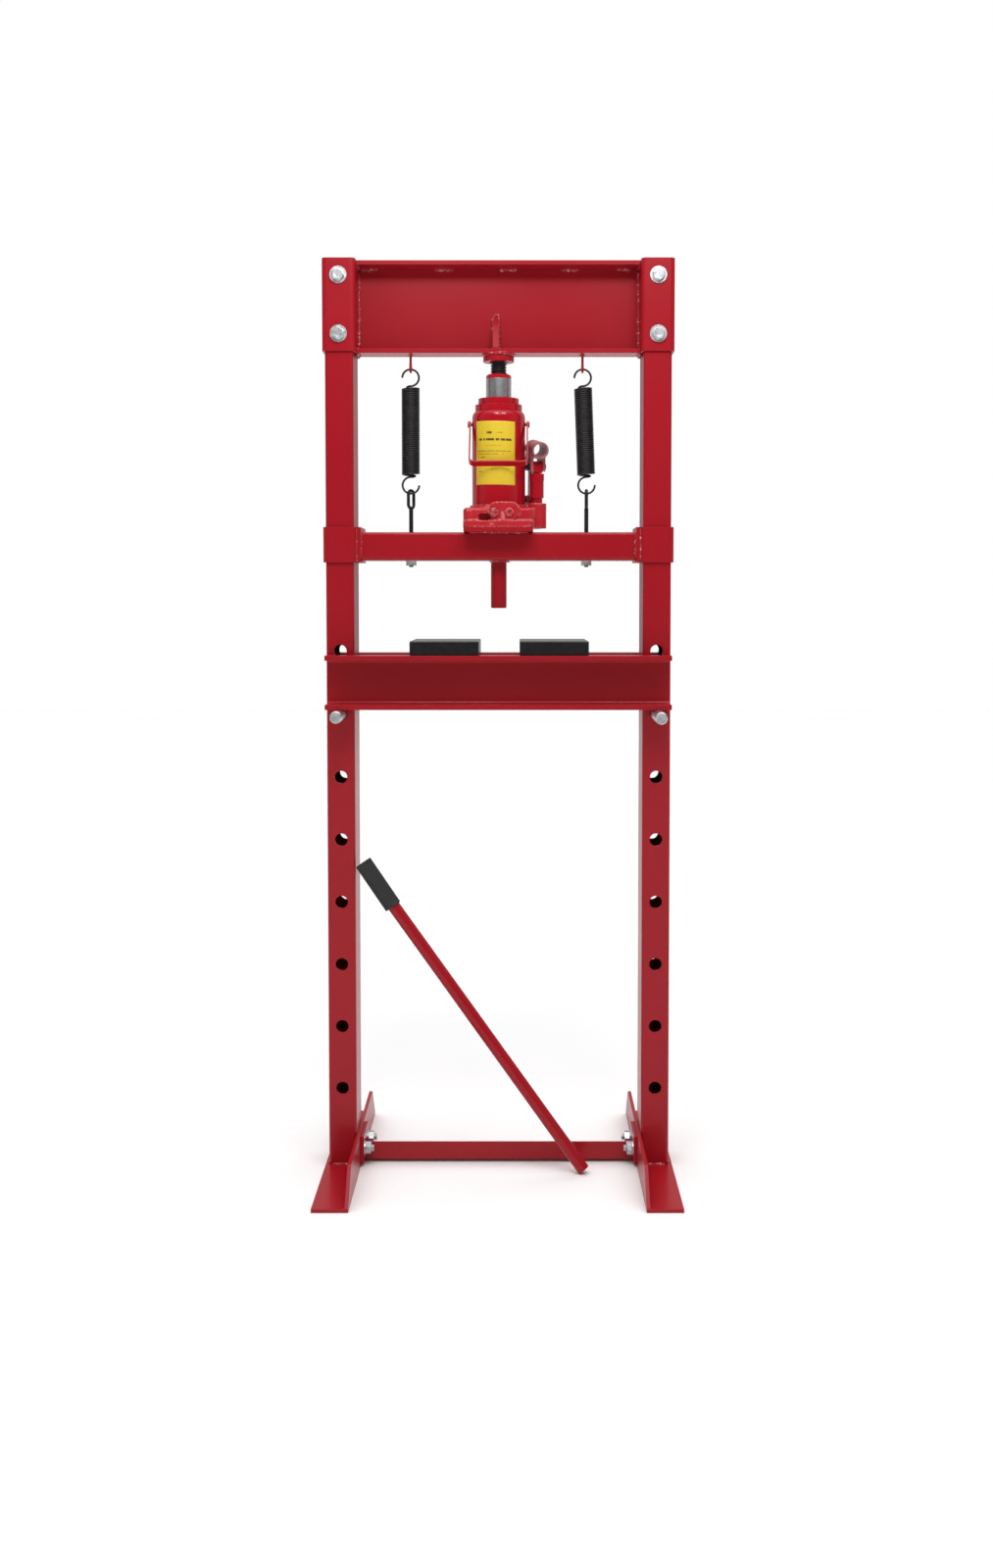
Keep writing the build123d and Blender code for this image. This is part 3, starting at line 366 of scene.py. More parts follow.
# Quads of a grid that is wrapped both ways; turned over, they face the other side.
def loopFaces(rows, columns, over=False):
    i, j = np.meshgrid(np.arange(rows), np.arange(columns), indexing="ij")
    k, m = (i + 1) % rows, (j + 1) % columns
    quads = np.stack([i * columns + j, i * columns + m, k * columns + m, k * columns + j], -1)
    return quads.reshape(-1, 4)[:, [0, 3, 2, 1] if over else [0, 1, 2, 3]].tolist()


# Points and faces of a skin over rings (rows, columns, 3), each end closed on its middle point.
def closedSkin(rings):
    rows, columns = rings.shape[:2]
    points = np.concatenate([rings.reshape(-1, 3), rings[:1].mean(1), rings[-1:].mean(1)])
    faces = gridFaces(rows, columns)
    j = np.arange(columns)
    k = (j + 1) % columns
    first, last = rows * columns, rows * columns + 1
    faces += np.stack([np.full(columns, first), k, j], -1).tolist()
    end = (rows - 1) * columns
    faces += np.stack([np.full(columns, last), end + j, end + k], -1).tolist()
    return points, faces


# Rings of radius r about a path: point + r (cos a N + sin a B), N the side vector squared to the path.
def tubeRings(path, side, radius, columns):
    tangent = np.gradient(path, axis=0)
    tangent /= np.linalg.norm(tangent, axis=1, keepdims=True)
    normal = side - (side * tangent).sum(1, keepdims=True) * tangent
    normal /= np.linalg.norm(normal, axis=1, keepdims=True)
    binormal = np.cross(tangent, normal)
    angle = np.linspace(0, 2 * math.pi, columns, endpoint=False)
    width = np.broadcast_to(np.asarray(radius, float), (len(path),))[:, None, None]
    ring = np.cos(angle)[None, :, None] * normal[:, None] + np.sin(angle)[None, :, None] * binormal[:, None]
    return path[:, None] + width * ring


# Surface of revolution about Z: radius r(t, a) at height z(t, a).
def turnedRings(radii, heights, columns):
    angle = np.linspace(0, 2 * math.pi, columns, endpoint=False)[None]
    radii, heights = np.broadcast_arrays(np.asarray(radii, float), np.asarray(heights, float))
    return np.stack([radii * np.cos(angle), radii * np.sin(angle), heights + 0 * angle], -1)


# Points turned so that local Z runs along the direction, then moved to the origin.
def placed(points, origin, direction, turn=0.0):
    rotation = Vector(direction).to_track_quat("Z", "Y").to_matrix() @ Matrix.Rotation(turn, 3, "Z")
    return points @ np.array(rotation).T + np.array(origin)


# One list of points and faces out of several closed shells.
def joined(shells):
    points, faces, count = [], [], 0
    for shellPoints, shellFaces in shells:
        points.append(shellPoints)
        faces += [[v + count for v in face] for face in shellFaces]
        count += len(shellPoints)
    return np.concatenate(points), faces


# Every corner of a CAD part's mesh, as an array.
def nodeCorners(name):
    mesh = nodes[name].data
    flat = np.zeros(len(mesh.vertices) * 3, np.float32)
    mesh.vertices.foreach_get("co", flat)
    return flat.reshape(-1, 3).astype(float)


# Middle of the box round some points: (low + high) / 2.
def middleOf(points):
    return (points.min(0) + points.max(0)) / 2


beadShape = {"ripple": 0.0034, "rippleShare": 0.09, "lumpShare": 0.24, "columns": 12, "step": 0.0005}
beadSeed = np.random.default_rng(12)


# Weld bead: a tube along straight runs, its radius rising and falling with each ripple and with slow lumps.
def beadShell(corners, radius, closed=False):
    corners = np.array(corners, float) * mm
    runs = np.linalg.norm(np.diff(corners, axis=0), axis=1)
    length = runs.sum()
    count = max(int(length / beadShape["step"]), 12)
    along = np.linspace(0, length, count)
    marks = np.concatenate([[0], np.cumsum(runs)])
    path = np.stack([np.interp(along, marks, corners[:, k]) for k in range(3)], -1)
    knots = beadSeed.normal(size=max(int(length / 0.004), 4) + 2)
    lumps = np.interp(along / length * (len(knots) - 1), np.arange(len(knots)), knots)
    ripple = np.abs(np.sin(math.pi * along / beadShape["ripple"] + lumps))
    share = beadShape["rippleShare"]
    thick = 1 - share + 2 * share * ripple + beadShape["lumpShare"] * 0.5 * lumps.clip(-1.5, 1.5)
    size = radius * mm * thick
    if not closed:
        size = size * np.sqrt(np.clip(np.minimum(along, length - along) / (1.4 * radius * mm), 0.02, 1))
    side = np.tile([0.31, 0.52, 0.79], (count, 1))
    wander = np.interp(along / length * (len(knots) - 1), np.arange(len(knots)), np.roll(knots, 2))
    shift = wander * radius * mm * 0.10
    return closedSkin(tubeRings(path + shift[:, None] * side, side, size, beadShape["columns"]))


# Weld bead round a bar: a torus whose thickness varies with ripples and lumps, ending where it began.
def ringShell(centre, ringRadius, radius):
    count = max(int(2 * math.pi * ringRadius * mm / beadShape["step"]), 48)
    turn = np.linspace(0, 2 * math.pi, count, endpoint=False)
    waves = beadSeed.normal(size=(5, 2)) / 3
    lumps = sum(a * np.cos((k + 2) * turn) + b * np.sin((k + 2) * turn) for k, (a, b) in enumerate(waves))
    ripples = round(2 * math.pi * ringRadius * mm / beadShape["ripple"])
    wave = 0.6 * beadShape["rippleShare"] * np.cos(ripples * turn + 2 * lumps)
    size = radius * mm * (1 + wave + beadShape["lumpShare"] * lumps)
    out = np.stack([np.cos(turn), np.sin(turn), 0 * turn], -1)
    columns = beadShape["columns"]
    angle = np.linspace(0, 2 * math.pi, columns, endpoint=False)[None, :, None]
    section = np.cos(angle) * out[:, None] + np.sin(angle) * np.array([0, 0, 1.0])
    rings = ringRadius * mm * out[:, None] + size[:, None, None] * section
    return rings.reshape(-1, 3) + np.array(centre) * mm, loopFaces(count, columns, over=True)


# Low and high corner of a part in millimetres.
def across(node, scale=1000):
    low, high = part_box(node)
    return np.array(low) * scale, np.array(high) * scale


headWeld = {
    "topStitches": (-188, -78, 14, 102, 181), "topHalf": 14, "topBead": 3.4,
    "lowStitches": (-185, -76, 83, 148), "lowHalf": 11, "lowBead": 3.2,
    "cornerBeads": ((-1, 2.5), (1, 2.2)), "sunk": 0.4, "rearBead": 1.6, "tackBead": 3.0, "innerBead": 2.6,
    "sleeveX": 199, "sleeveBead": 1.9, "gussetBead": 2.6, "gussetTop": 2.4, "socketBead": 2.3,
    "loopWire": 2.0, "loopBead": 1.6,
}


# Beads of the head: stitches along the web, runs at its ends, round the gusset, the socket and the loops.
def makeHeadWelds():
    look = headWeld
    webLow, webHigh = across("head_web")
    topLow = across("head_top_plate")[0]
    plateLow, plateHigh = across("head_bottom_plate")
    gussetLow, gussetHigh = across("head_gusset")
    socketHigh = across("jack_socket")[1]
    front, back = webLow[1], webHigh[1]
    shells = []
    half, z = look["topHalf"], webHigh[2]
    for x in look["topStitches"]:
        shells.append(beadShell([(x - half, front, z), (x + half, front, z)], look["topBead"]))
    half, z = look["lowHalf"], webLow[2]
    for x in look["lowStitches"]:
        shells.append(beadShell([(x - half, front, z), (x + half, front, z)], look["lowBead"]))
    for side, size in look["cornerBeads"]:
        x = side * (webHigh[0] - look["sunk"])
        shells.append(beadShell([(x, front, webLow[2] + 1), (x, front, webHigh[2] - 2)], size))
        heavy = [(x, front - 2, webLow[2] + 2), (x, front - 2, webLow[2] + 34)]
        shells.append(beadShell(heavy, size * 1.1))
        rear = [(x, back - 1.5, webLow[2]), (x, back - 1.5, webHigh[2] - 1)]
        shells.append(beadShell(rear, look["rearBead"]))
        for y0, y1 in ((topLow[1] + 2, topLow[1] + 22), (front - 16, front - 2)):
            shells.append(beadShell([(x, y0, plateLow[2]), (x, y1, plateLow[2])], look["tackBead"]))
        shells.append(beadShell([(x, topLow[1] + 3, topLow[2]), (x, front, topLow[2])], look["innerBead"]))
        inner = [(x, plateLow[1] + 3, plateHigh[2]), (x, front, plateHigh[2])]
        shells.append(beadShell(inner, look["innerBead"]))
        x, y = side * look["sleeveX"], topLow[1] + 1.5
        shells.append(beadShell([(x, y, plateLow[2] + 1), (x, y, plateHigh[2] - 1)], look["sleeveBead"]))
    top = gussetHigh[2] + 1
    for x in (gussetLow[0], gussetHigh[0]):
        shells.append(beadShell([(x, front, gussetLow[2] + 2), (x, front, top)], look["gussetBead"]))
        foot = [(x, gussetLow[1] + 2, gussetLow[2]), (x, front, gussetLow[2])]
        shells.append(beadShell(foot, look["gussetBead"]))
    over = [(gussetLow[0] - 1, front, top), (gussetHigh[0] + 1, front, top)]
    shells.append(beadShell(over, look["gussetTop"]))
    shells.append(ringShell((0, 0, socketHigh[2]), socketHigh[0] + 0.3, look["socketBead"]))
    loops = nodeCorners("spring_loops")
    for keep in (loops[:, 0] < 0, loops[:, 0] > 0):
        x, y = middleOf(loops[keep])[:2] * 1000
        shells.append(ringShell((x, y, plateLow[2]), look["loopWire"], look["loopBead"]))
    return meshPiece("head_welds", *joined(shells), weldPaint, "frame", "frame_paint")


footWeld = {
    "inset": 4, "columnBead": 2.3, "legBead": 1.8, "legIn": 2.5, "legOff": 2.2, "legRun": (12, 44),
    "barWall": 3.0, "barBead": 1.7,
}


# Beads round each column's foot, up the angle's inner leg, and where the crossbar meets its end plates.
def makeFootWelds():
    look = footWeld
    shells = []
    for side in ("left", "right"):
        low, high = across("column_" + side)
        inner, outer = sorted((low[0], high[0]), key=abs)
        inset = math.copysign(look["inset"], inner)
        for y in (low[1], high[1]):
            run = [(inner + inset, y, low[2]), (outer - inset, y, low[2])]
            shells.append(beadShell(run, look["columnBead"]))
        run = [(outer, low[1] + 4, low[2]), (outer, high[1] - 4, low[2])]
        shells.append(beadShell(run, look["columnBead"]))
        for y in (low[1] + look["legIn"], high[1] - look["legIn"]):
            x, legY = inner + inset * 0.1, y + look["legOff"] * np.sign(-y)
            shells.append(beadShell([(x, legY, z) for z in look["legRun"]], look["legBead"]))
        barLow, barHigh = across("crossbar")
        x = barLow[0] if side == "left" else barHigh[0]
        wall = look["barWall"]
        for y in (barLow[1], barLow[1] + wall):   # both faces of the bar's upright leg
            shells.append(beadShell([(x, y, barLow[2] + wall), (x, y, barHigh[2])], look["barBead"]))
        z = barLow[2] + wall
        shells.append(beadShell([(x, barLow[1] + wall, z), (x, barHigh[1], z)], look["barBead"]))
    return meshPiece("foot_welds", *joined(shells), weldPaint, "frame", "frame_paint")


beamWeld = {"endBead": 2.2, "plateBead": 1.5, "trayBead": 2.0, "arborBeads": (2.2, 2.4)}


# Beads round both ends of the tube, on the guide plates, beside the jack's tray and round the arbor.
def makeBeamWelds():
    look = beamWeld
    low, high = across("press_beam")
    endLow, endHigh = across("beam_end_plates")
    trayLow, trayHigh = across("jack_tray")
    shells = []
    for side in (-1, 1):
        x = side * high[0]
        square = [
            (x, low[1], low[2] + 3), (x, low[1], high[2] - 2), (x, low[1] + 3, high[2]),
            (x, high[1] - 3, high[2]), (x, high[1], high[2] - 2), (x, high[1], low[2] + 3),
        ]
        shells.append(beadShell(square, look["endBead"]))
        shells.append(beadShell([(x, low[1] + 3, low[2]), (x, high[1] - 3, low[2])], look["endBead"]))
        x = side * endHigh[0]
        for y in (endLow[1], endHigh[1]):
            shells.append(beadShell([(x, y, endLow[2] + 1), (x, y, endHigh[2] - 2)], look["plateBead"]))
    for y in (low[1] - 0.2, high[1] + 0.2):
        run = [(trayLow[0] + 6, y, high[2]), (trayHigh[0] - 6, y, high[2])]
        shells.append(beadShell(run, look["trayBead"]))
    arborHigh = across("arbor")[1]
    first, second = look["arborBeads"]        # two passes, the second a little off centre
    shells.append(ringShell((0, 0, low[2]), arborHigh[0] + 0.2, first))
    shells.append(ringShell((2.2, -1.0, low[2] - 0.3), arborHigh[0] + 0.4, second))
    return meshPiece("beam_welds", *joined(shells), weldPaint, "press_beam", "frame_paint")


tableWeld = {"in": 6, "short": 4, "bead": 2.0}


# Upright beads where the spacers meet the channels.
def makeTableWelds():
    low, high = across("table_spacers")
    inset, short = tableWeld["in"], tableWeld["short"]
    shells = []
    for x in (low[0] + inset, high[0] - inset, low[0], high[0]):
        for y in (low[1] + 0.2, high[1] - 0.2):
            shells.append(beadShell([(x, y, low[2] + short), (x, y, high[2] - short)], tableWeld["bead"]))
    return meshPiece("table_welds", *joined(shells), weldPaint, "table", "frame_paint")


makeHeadWelds()
makeFootWelds()
makeBeamWelds()
makeTableWelds()
print("welds")


# Threaded bar: radius = r - depth * triangle(z / pitch - angle / turn), drawn in at both ends.
def threadShell(radius, pitch, depth, low, high, columns=40, perPitch=10, taper=1.0):
    rows = int((high - low) / pitch * perPitch) + 2
    z = np.linspace(low, high, rows)[:, None]
    angle = np.linspace(0, 1, columns, endpoint=False)[None]
    wave = (z / pitch - angle) % 1
    groove = np.clip(1.35 * (1 - np.abs(2 * wave - 1)) - 0.15, 0, 1)
    ends = np.clip(np.minimum(z - low, high - z) / taper, 0, 1)
    cut = np.maximum(groove * np.clip(ends + 0.35, 0, 1), 1 - ends)
    return closedSkin(turnedRings(radius - depth * cut, z, columns))


# Hexagon of half-width a at angle t: a / cos(t mod 60), its corners cut by a 26 degree cone.
def hexShell(flats, height, bore=0.0, chamfer=0.93, columns=96):
    angle = np.linspace(0, 2 * math.pi, columns, endpoint=False)
    corner = (flats / 2) / np.cos((angle + math.pi / 6) % (math.pi / 3) - math.pi / 6)
    cone = flats / 2 * chamfer
    drop = (corner - cone) * math.tan(math.radians(26))
    rows = [
        (np.full(columns, cone), np.full(columns, 0.0)) if bore else (corner, np.zeros(columns)),
        (corner, drop if bore else np.zeros(columns)),
        (corner, height - drop),
        (np.full(columns, cone), np.full(columns, height)),
    ]
    if bore:
        hole = np.full(columns, bore)
        rows += [(hole, np.full(columns, height)), (hole, np.zeros(columns))]
    else:
        dish = cone * 0.72                   # shallow dish in a forged head
        rows.append((np.full(columns, dish), np.full(columns, height)))
        rows.append((np.full(columns, dish * 0.92), np.full(columns, height - 0.35)))
    rings = np.stack([np.stack([r * np.cos(angle), r * np.sin(angle), z], -1) for r, z in rows])
    if bore:
        return rings.reshape(-1, 3), loopFaces(len(rings), columns)
    return closedSkin(rings)


# Round bar with bevelled ends.
def plainShell(radius, low, high, bevel=0.6, columns=48):
    radii = np.array([radius - bevel, radius, radius, radius - bevel])[:, None]
    heights = np.array([low, low + bevel, high - bevel, high])[:, None]
    return closedSkin(turnedRings(radii, heights, columns))


boltLook = {
    "flats": 16.0, "head": 6.4, "nut": 8.0, "tip": 4.0, "radius": 5.0, "pitch": 1.5, "groove": 0.75,
    "bore": 4.4, "thread": 22.0,
}


# Head with its shank and a threaded end, in millimetres along the direction.
def boltShells(origin, direction, length, turn):
    look = boltLook
    start = length - look["thread"]
    head = hexShell(look["flats"], look["head"])
    shank = plainShell(look["radius"], -0.5, start, 0.3)
    thread = threadShell(look["radius"], look["pitch"], look["groove"], start, length, 32, 8)
    return [
        placedShell(head, origin, -Vector(direction), turn),
        placedShell(shank, origin, direction),
        placedShell(thread, origin, direction),
    ]


# Nut with its middle on the bolt, its seat at the origin.
def nutShell(origin, direction, turn):
    look = boltLook
    return placedShell(hexShell(look["flats"], look["nut"], look["bore"]), origin, direction, turn)


# A shell in millimetres, turned and moved to its place in metres.
def placedShell(shell, origin, direction, turn=0.0):
    return placed(shell[0] * mm, np.array(origin) * mm, direction, turn), shell[1]


# Middle, low and high of each bolt or nut in a part, told apart by the quarter it lies in.
def islandBoxes(name):
    corners = nodeCorners(name) * 1000
    middle = middleOf(corners)
    found = []
    for sx in (-1, 1):
        for level in ("low", "high"):
            inX = (corners[:, 0] - middle[0]) * sx > 0
            axis = 2 if name.startswith("head") else 1
            inLevel = (corners[:, axis] > middle[axis]) == (level == "high")
            chosen = corners[inX & inLevel]
            found.append((middleOf(chosen), chosen.min(0), chosen.max(0)))
    return found


# Head bolts run to the back, foot bolts inwards; each ends a tip's length past its nut.
def makeFasteners():
    turns = beadSeed.uniform(0, math.pi / 3, 16)
    headShells, footShells, nutShells = [], [], []
    for i, (middle, low, high) in enumerate(islandBoxes("head_bolts")):
        seat = low[1] + boltLook["head"]
        origin = (middle[0], seat, middle[2])
        length = high[1] - seat
        headShells += boltShells(origin, (0, 1, 0), length, turns[i])
        nutAt = (middle[0], high[1] - boltLook["tip"] - boltLook["nut"], middle[2])
        nutShells.append(nutShell(nutAt, (0, 1, 0), turns[i + 4]))
    for i, (middle, low, high) in enumerate(islandBoxes("foot_bolts")):
        inward = -np.sign(middle[0])
        tip = high[0] if inward > 0 else low[0]
        start = low[0] if inward > 0 else high[0]
        seat = start + inward * boltLook["head"]
        origin = (seat, middle[1], middle[2])
        footShells += boltShells(origin, (inward, 0, 0), abs(tip - seat), turns[i + 8])
        nutAt = (tip - inward * (boltLook["tip"] + boltLook["nut"]), middle[1], middle[2])
        nutShells.append(nutShell(nutAt, (inward, 0, 0), turns[i + 12]))
    made = {"head_bolts": headShells, "foot_bolts": footShells, "frame_nuts": nutShells}
    for name, shells in made.items():
        piece = meshPiece(name + "_cut", *joined(shells), zinc, "frame", "zinc", smooth=False)
        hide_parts(name)


makeFasteners()


screwLook = {"pitch": 4.0, "groove": 1.9, "columns": 64, "perPitch": 12, "taper": 2.0}


# Coarse thread over the screw's whole height.
def makeExtensionScrew():
    low, high = across("extension_screw")
    look = screwLook
    points, faces = threadShell(
        high[0], look["pitch"], look["groove"], low[2], high[2],
        look["columns"], look["perPitch"], look["taper"],
    )
    name, rider = "extension_screw_thread", "extension_screw"
    piece = meshPiece(name, points * mm, faces, blackLacquer, rider, "black_steel")
    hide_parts("extension_screw")


makeExtensionScrew()
print("threads and fasteners")


springLook = {
    "wire": 1.48, "coilRadius": 11.7, "pitch": 3.02, "hookRadius": 11.9, "columns": 12, "perTurn": 30,
    "settle": 3.2,
}


# Half of a spring, from its middle up: a helix (R cos a, R sin a, p a), a half turn of radius R / 2 in
# to the axis, and a hook, an arc of radius h in the XZ plane. The lower half is it turned about Y.
def springPath(top, bottom):
    look = springLook
    length = np.linalg.norm(top - bottom)
    half = length / 2
    radius, hookRadius = look["coilRadius"], look["hookRadius"]
    hookStart = half - hookRadius
    settle = look["settle"]                    # rise of the half turn that leads in to the hook
    coilTop = hookStart - settle
    turns = round(2 * coilTop / look["pitch"]) / 2      # whole half turns, so that the two halves meet
    rise = coilTop / turns / (2 * math.pi)
    count = int(turns * look["perTurn"])
    a = np.linspace(math.pi / 2 - turns * 2 * math.pi, math.pi / 2, count, endpoint=False)
    helix = np.stack([radius * np.cos(a), radius * np.sin(a), coilTop + (a - math.pi / 2) * rise], -1)
    b = np.linspace(0, 1, look["perTurn"] // 2 + 4, endpoint=False)
    turn = math.pi / 2 + b * math.pi
    climb = coilTop + settle * b * b * (3 - 2 * b)
    lead = np.stack([radius / 2 * np.cos(turn), radius / 2 + radius / 2 * np.sin(turn), climb], -1)
    c = np.linspace(-math.pi / 2, math.pi, 60)
    hook = np.stack([hookRadius * np.cos(c), 0 * c, half + hookRadius * np.sin(c)], -1)
    path = np.concatenate([helix, lead, hook])
    up = np.tile([0, 0, 1.0], (len(helix) + len(lead), 1))
    inward = np.stack([-np.cos(c), 0 * c, -np.sin(c)], -1)
    return path, np.concatenate([up, inward])


# Spring between the two bolt eyes and loops that the CAD part's ends mark, hooks and all.
def makeSpring(side):
    corners = nodeCorners("return_spring_" + side) * 1000
    upper = corners[corners[:, 2] > corners[:, 2].max() - 6]
    lower = corners[corners[:, 2] < corners[:, 2].min() + 6]
    outer = springLook["hookRadius"] + springLook["wire"]
    top = np.array([middleOf(upper)[0], 0, corners[:, 2].max() - outer])
    bottom = np.array([middleOf(lower)[0], 0, corners[:, 2].min() + outer])
    path, sides = springPath(top, bottom)
    flip = np.array([-1, 1, -1])
    lowPath, lowSides = (path * flip)[::-1], (-sides * flip)[::-1]
    full = np.concatenate([lowPath[:-1], path])
    sides = np.concatenate([lowSides[:-1], sides])
    rings = tubeRings(full, sides, springLook["wire"], springLook["columns"])
    points, faces = closedSkin(rings)
    lean = (top - bottom) / np.linalg.norm(top - bottom)
    frontOn = np.array([(lean[2], 0, -lean[0]), (0, 1, 0), lean])   # hooks stay in the XZ plane
    return (points @ frontOn + (top + bottom) / 2) * mm, faces, top * mm, bottom * mm


for side in ("left", "right"):
    points, faces, top, bottom = makeSpring(side)
    spring = meshPiece("return_spring_" + side + "_coil", points, faces, blackLacquer, None, "black_steel")
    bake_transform(spring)
    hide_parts("return_spring_" + side)
print("return springs")


labelLook = {
    "tilt": math.radians(1.4), "rows": 60, "columns": 48,
    "layers": ((0.02, 0.0), (0.22, 0.12)),     # height of the back and the front, and each rim's drop
    # generic print as plain bars: left, right, low, high (shares of the label), how solid
    "bars": [
        (0.32, 0.45, 0.800, 0.835, 0.9), (0.55, 0.70, 0.812, 0.826, 0.5), (0.10, 0.90, 0.692, 0.728, 0.9),
        (0.30, 0.66, 0.610, 0.620, 0.4), (0.06, 0.88, 0.520, 0.535, 0.6), (0.06, 0.72, 0.476, 0.487, 0.6),
        (0.06, 0.30, 0.424, 0.437, 0.7), (0.06, 0.86, 0.245, 0.258, 0.35), (0.06, 0.24, 0.200, 0.215, 0.7),
    ],
}


# Yellow ground with bars of ink; noise breaks each line of ink into blocks, by gaps of its own.
def makeLabelFinish():
    material, tree, shader = newMaterial("printedLabel")
    uv = addNode(tree, "UVMap").outputs[0]
    parts = addNode(tree, "SeparateXYZ")
    feed(tree, parts.inputs[0], uv)
    u, v = parts.outputs[0], parts.outputs[1]
    words = addNode(tree, "TexNoise", noise_dimensions="2D")
    line = sums(tree, "FLOOR", sums(tree, "MULTIPLY_ADD", v, 20.0, 0.25))
    where = addNode(tree, "CombineXYZ")
    feed(tree, where.inputs[0], sums(tree, "MULTIPLY", u, 26.0))
    feed(tree, where.inputs[1], sums(tree, "MULTIPLY", line, 1.7))
    feed(tree, words.inputs["Vector"], where.outputs[0])
    words.inputs["Scale"].default_value = 1.0
    words.inputs["Detail"].default_value = 0.0
    gaps = spread(tree, words.outputs["Fac"], 0.34, 0.37)
    ink = None
    for left, right, low, high, solid in labelLook["bars"]:
        inX = sums(tree, "COMPARE", u, (left + right) / 2, (right - left) / 2)
        inY = sums(tree, "COMPARE", v, (low + high) / 2, (high - low) / 2)
        bar = sums(tree, "MULTIPLY", sums(tree, "MULTIPLY", inX, inY), solid)
        ink = bar if ink is None else sums(tree, "MAXIMUM", ink, bar)
    ink = sums(tree, "MULTIPLY", ink, gaps)
    place = addNode(tree, "TexCoord").outputs["Object"]
    cloud = noise(tree, place, 60.0, 3.0)
    ground = mixColour(tree, cloud, (0.69, 0.48, 0.020, 1), (0.75, 0.54, 0.030, 1))
    feed(tree, shader.inputs["Base Color"], mixColour(tree, ink, ground, (0.03, 0.022, 0.008, 1)))
    feed(tree, shader.inputs["Roughness"], spread(tree, cloud, 0.3, 0.7, 0.30, 0.42))
    bumped(tree, shader, noise(tree, place, 220.0, 2.0), 0.00008)
    return material


# Sticker: radius r, angle from left edge to right, height along the tilted edge, with a rounded rim.
def makeLabel():
    low, high = across("jack_label")
    tank = across("jack_reservoir")[1][0]
    left, right = math.asin(low[0] / tank), math.asin(high[0] / tank)
    u = np.linspace(0, 1, labelLook["columns"])[None]
    v = np.linspace(0, 1, labelLook["rows"])[:, None]
    drop = math.tan(labelLook["tilt"]) * (high[0] - low[0])
    angle = left + (right - left) * u + 0 * v
    z = low[2] + drop / 2 + (high[2] - low[2] - drop) * v + drop * (0.5 - u)
    rows, columns = labelLook["rows"], labelLook["columns"]
    edge = np.minimum(np.minimum(u, 1 - u) * (columns - 1), np.minimum(v, 1 - v) * (rows - 1))
    layers = []
    for lift, bend in labelLook["layers"]:
        r = tank + lift - bend * (edge < 1)
        layers.append(np.stack([r * np.sin(angle), -r * np.cos(angle), z], -1))
    count = rows * columns
    points = np.concatenate([layer.reshape(-1, 3) for layer in layers])
    back = [face[::-1] for face in gridFaces(rows, columns, wrap=False)]
    front = gridFaces(rows, columns, wrap=False, start=count)
    rim = np.concatenate([
        np.arange(columns), np.arange(2, rows + 1) * columns - 1,
        (rows - 1) * columns + np.arange(columns - 2, -1, -1), np.arange(rows - 2, 0, -1) * columns,
    ])
    nextRim = np.roll(rim, -1)
    wall = np.stack([rim, nextRim, nextRim + count, rim + count], -1).tolist()
    flat = np.stack([u + 0 * v, v + 0 * u], -1).reshape(-1, 2)
    faces, print2d = back + front + wall, np.concatenate([flat, flat])
    finish = makeLabelFinish()
    piece = meshPiece("jack_label_print", points * mm, faces, finish, "press_beam", "label", uv=print2d)
    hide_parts("jack_label")


makeLabel()
print("label")


gripLook = {
    "ribs": 36, "rib": 0.35, "ring": 0.25, "ringPitch": 2.4, "columns": 216, "rows": 150, "lip": 1.2,
    "plain": 3, "fade": 1.5,
}


# Moulded sleeve: radius = r - rib (1 + cos 36 a) / 2 - ring (1 + cos z) / 2, smooth at both lips.
def makeGrip():
    corners = nodeCorners("lever_grip")
    tube = nodeCorners("lever_tube")
    near = 0.004                               # depth of the rings of corners taken at both ends
    topMiddle = middleOf(corners[corners[:, 2] > corners[:, 2].max() - near])
    axis = topMiddle - middleOf(tube[tube[:, 2] < tube[:, 2].min() + near])
    axis /= np.linalg.norm(axis)
    centre = corners.mean(0)
    along = (corners - centre) @ axis
    middle = centre + axis * (along.min() + along.max()) / 2
    low, high = (along.min() - along.max()) / 2 * 1000, (along.max() - along.min()) / 2 * 1000
    off = corners - middle - np.outer((corners - middle) @ axis, axis)
    radius = np.linalg.norm(off, axis=1).max() * 1000
    look = gripLook
    angle = np.linspace(0, 2 * math.pi, look["columns"], endpoint=False)[None]
    z = np.linspace(low, high, look["rows"])[:, None]
    inner = np.clip((np.minimum(z - low, high - z) - look["plain"]) / look["fade"], 0, 1)
    ribs = look["rib"] * (1 + np.cos(look["ribs"] * angle)) / 2
    groove = ribs + look["ring"] * (1 + np.cos(2 * math.pi * z / look["ringPitch"])) / 2
    toEnd = np.clip(np.minimum(z - low, high - z) / look["lip"], 0, 1)
    lipCurve = np.sqrt(np.clip(1 - (1 - toEnd) ** 2, 0, 1))
    radii = radius - groove * inner - look["lip"] * (1 - lipCurve)
    points, faces = closedSkin(turnedRings(radii, z + 0 * angle, look["columns"]))
    points = placed(points * mm, middle, axis)
    piece = meshPiece("lever_grip_ribbed", points, faces, rubber, "pump_lever", "rubber")
    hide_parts("lever_grip")


makeGrip()
print("grip")


castLook = {
    "voxel": 0.0010, "smooth": 2, "skin": 0.22, "waves": 14, "waveScale": 0.22, "phase": 3,
    "facing": -0.6, "frontDepth": 24,
    "pocket": {"x": -19.5, "above": 14.5, "wide": 7.5, "tall": 4.2, "deep": 11.0},
}


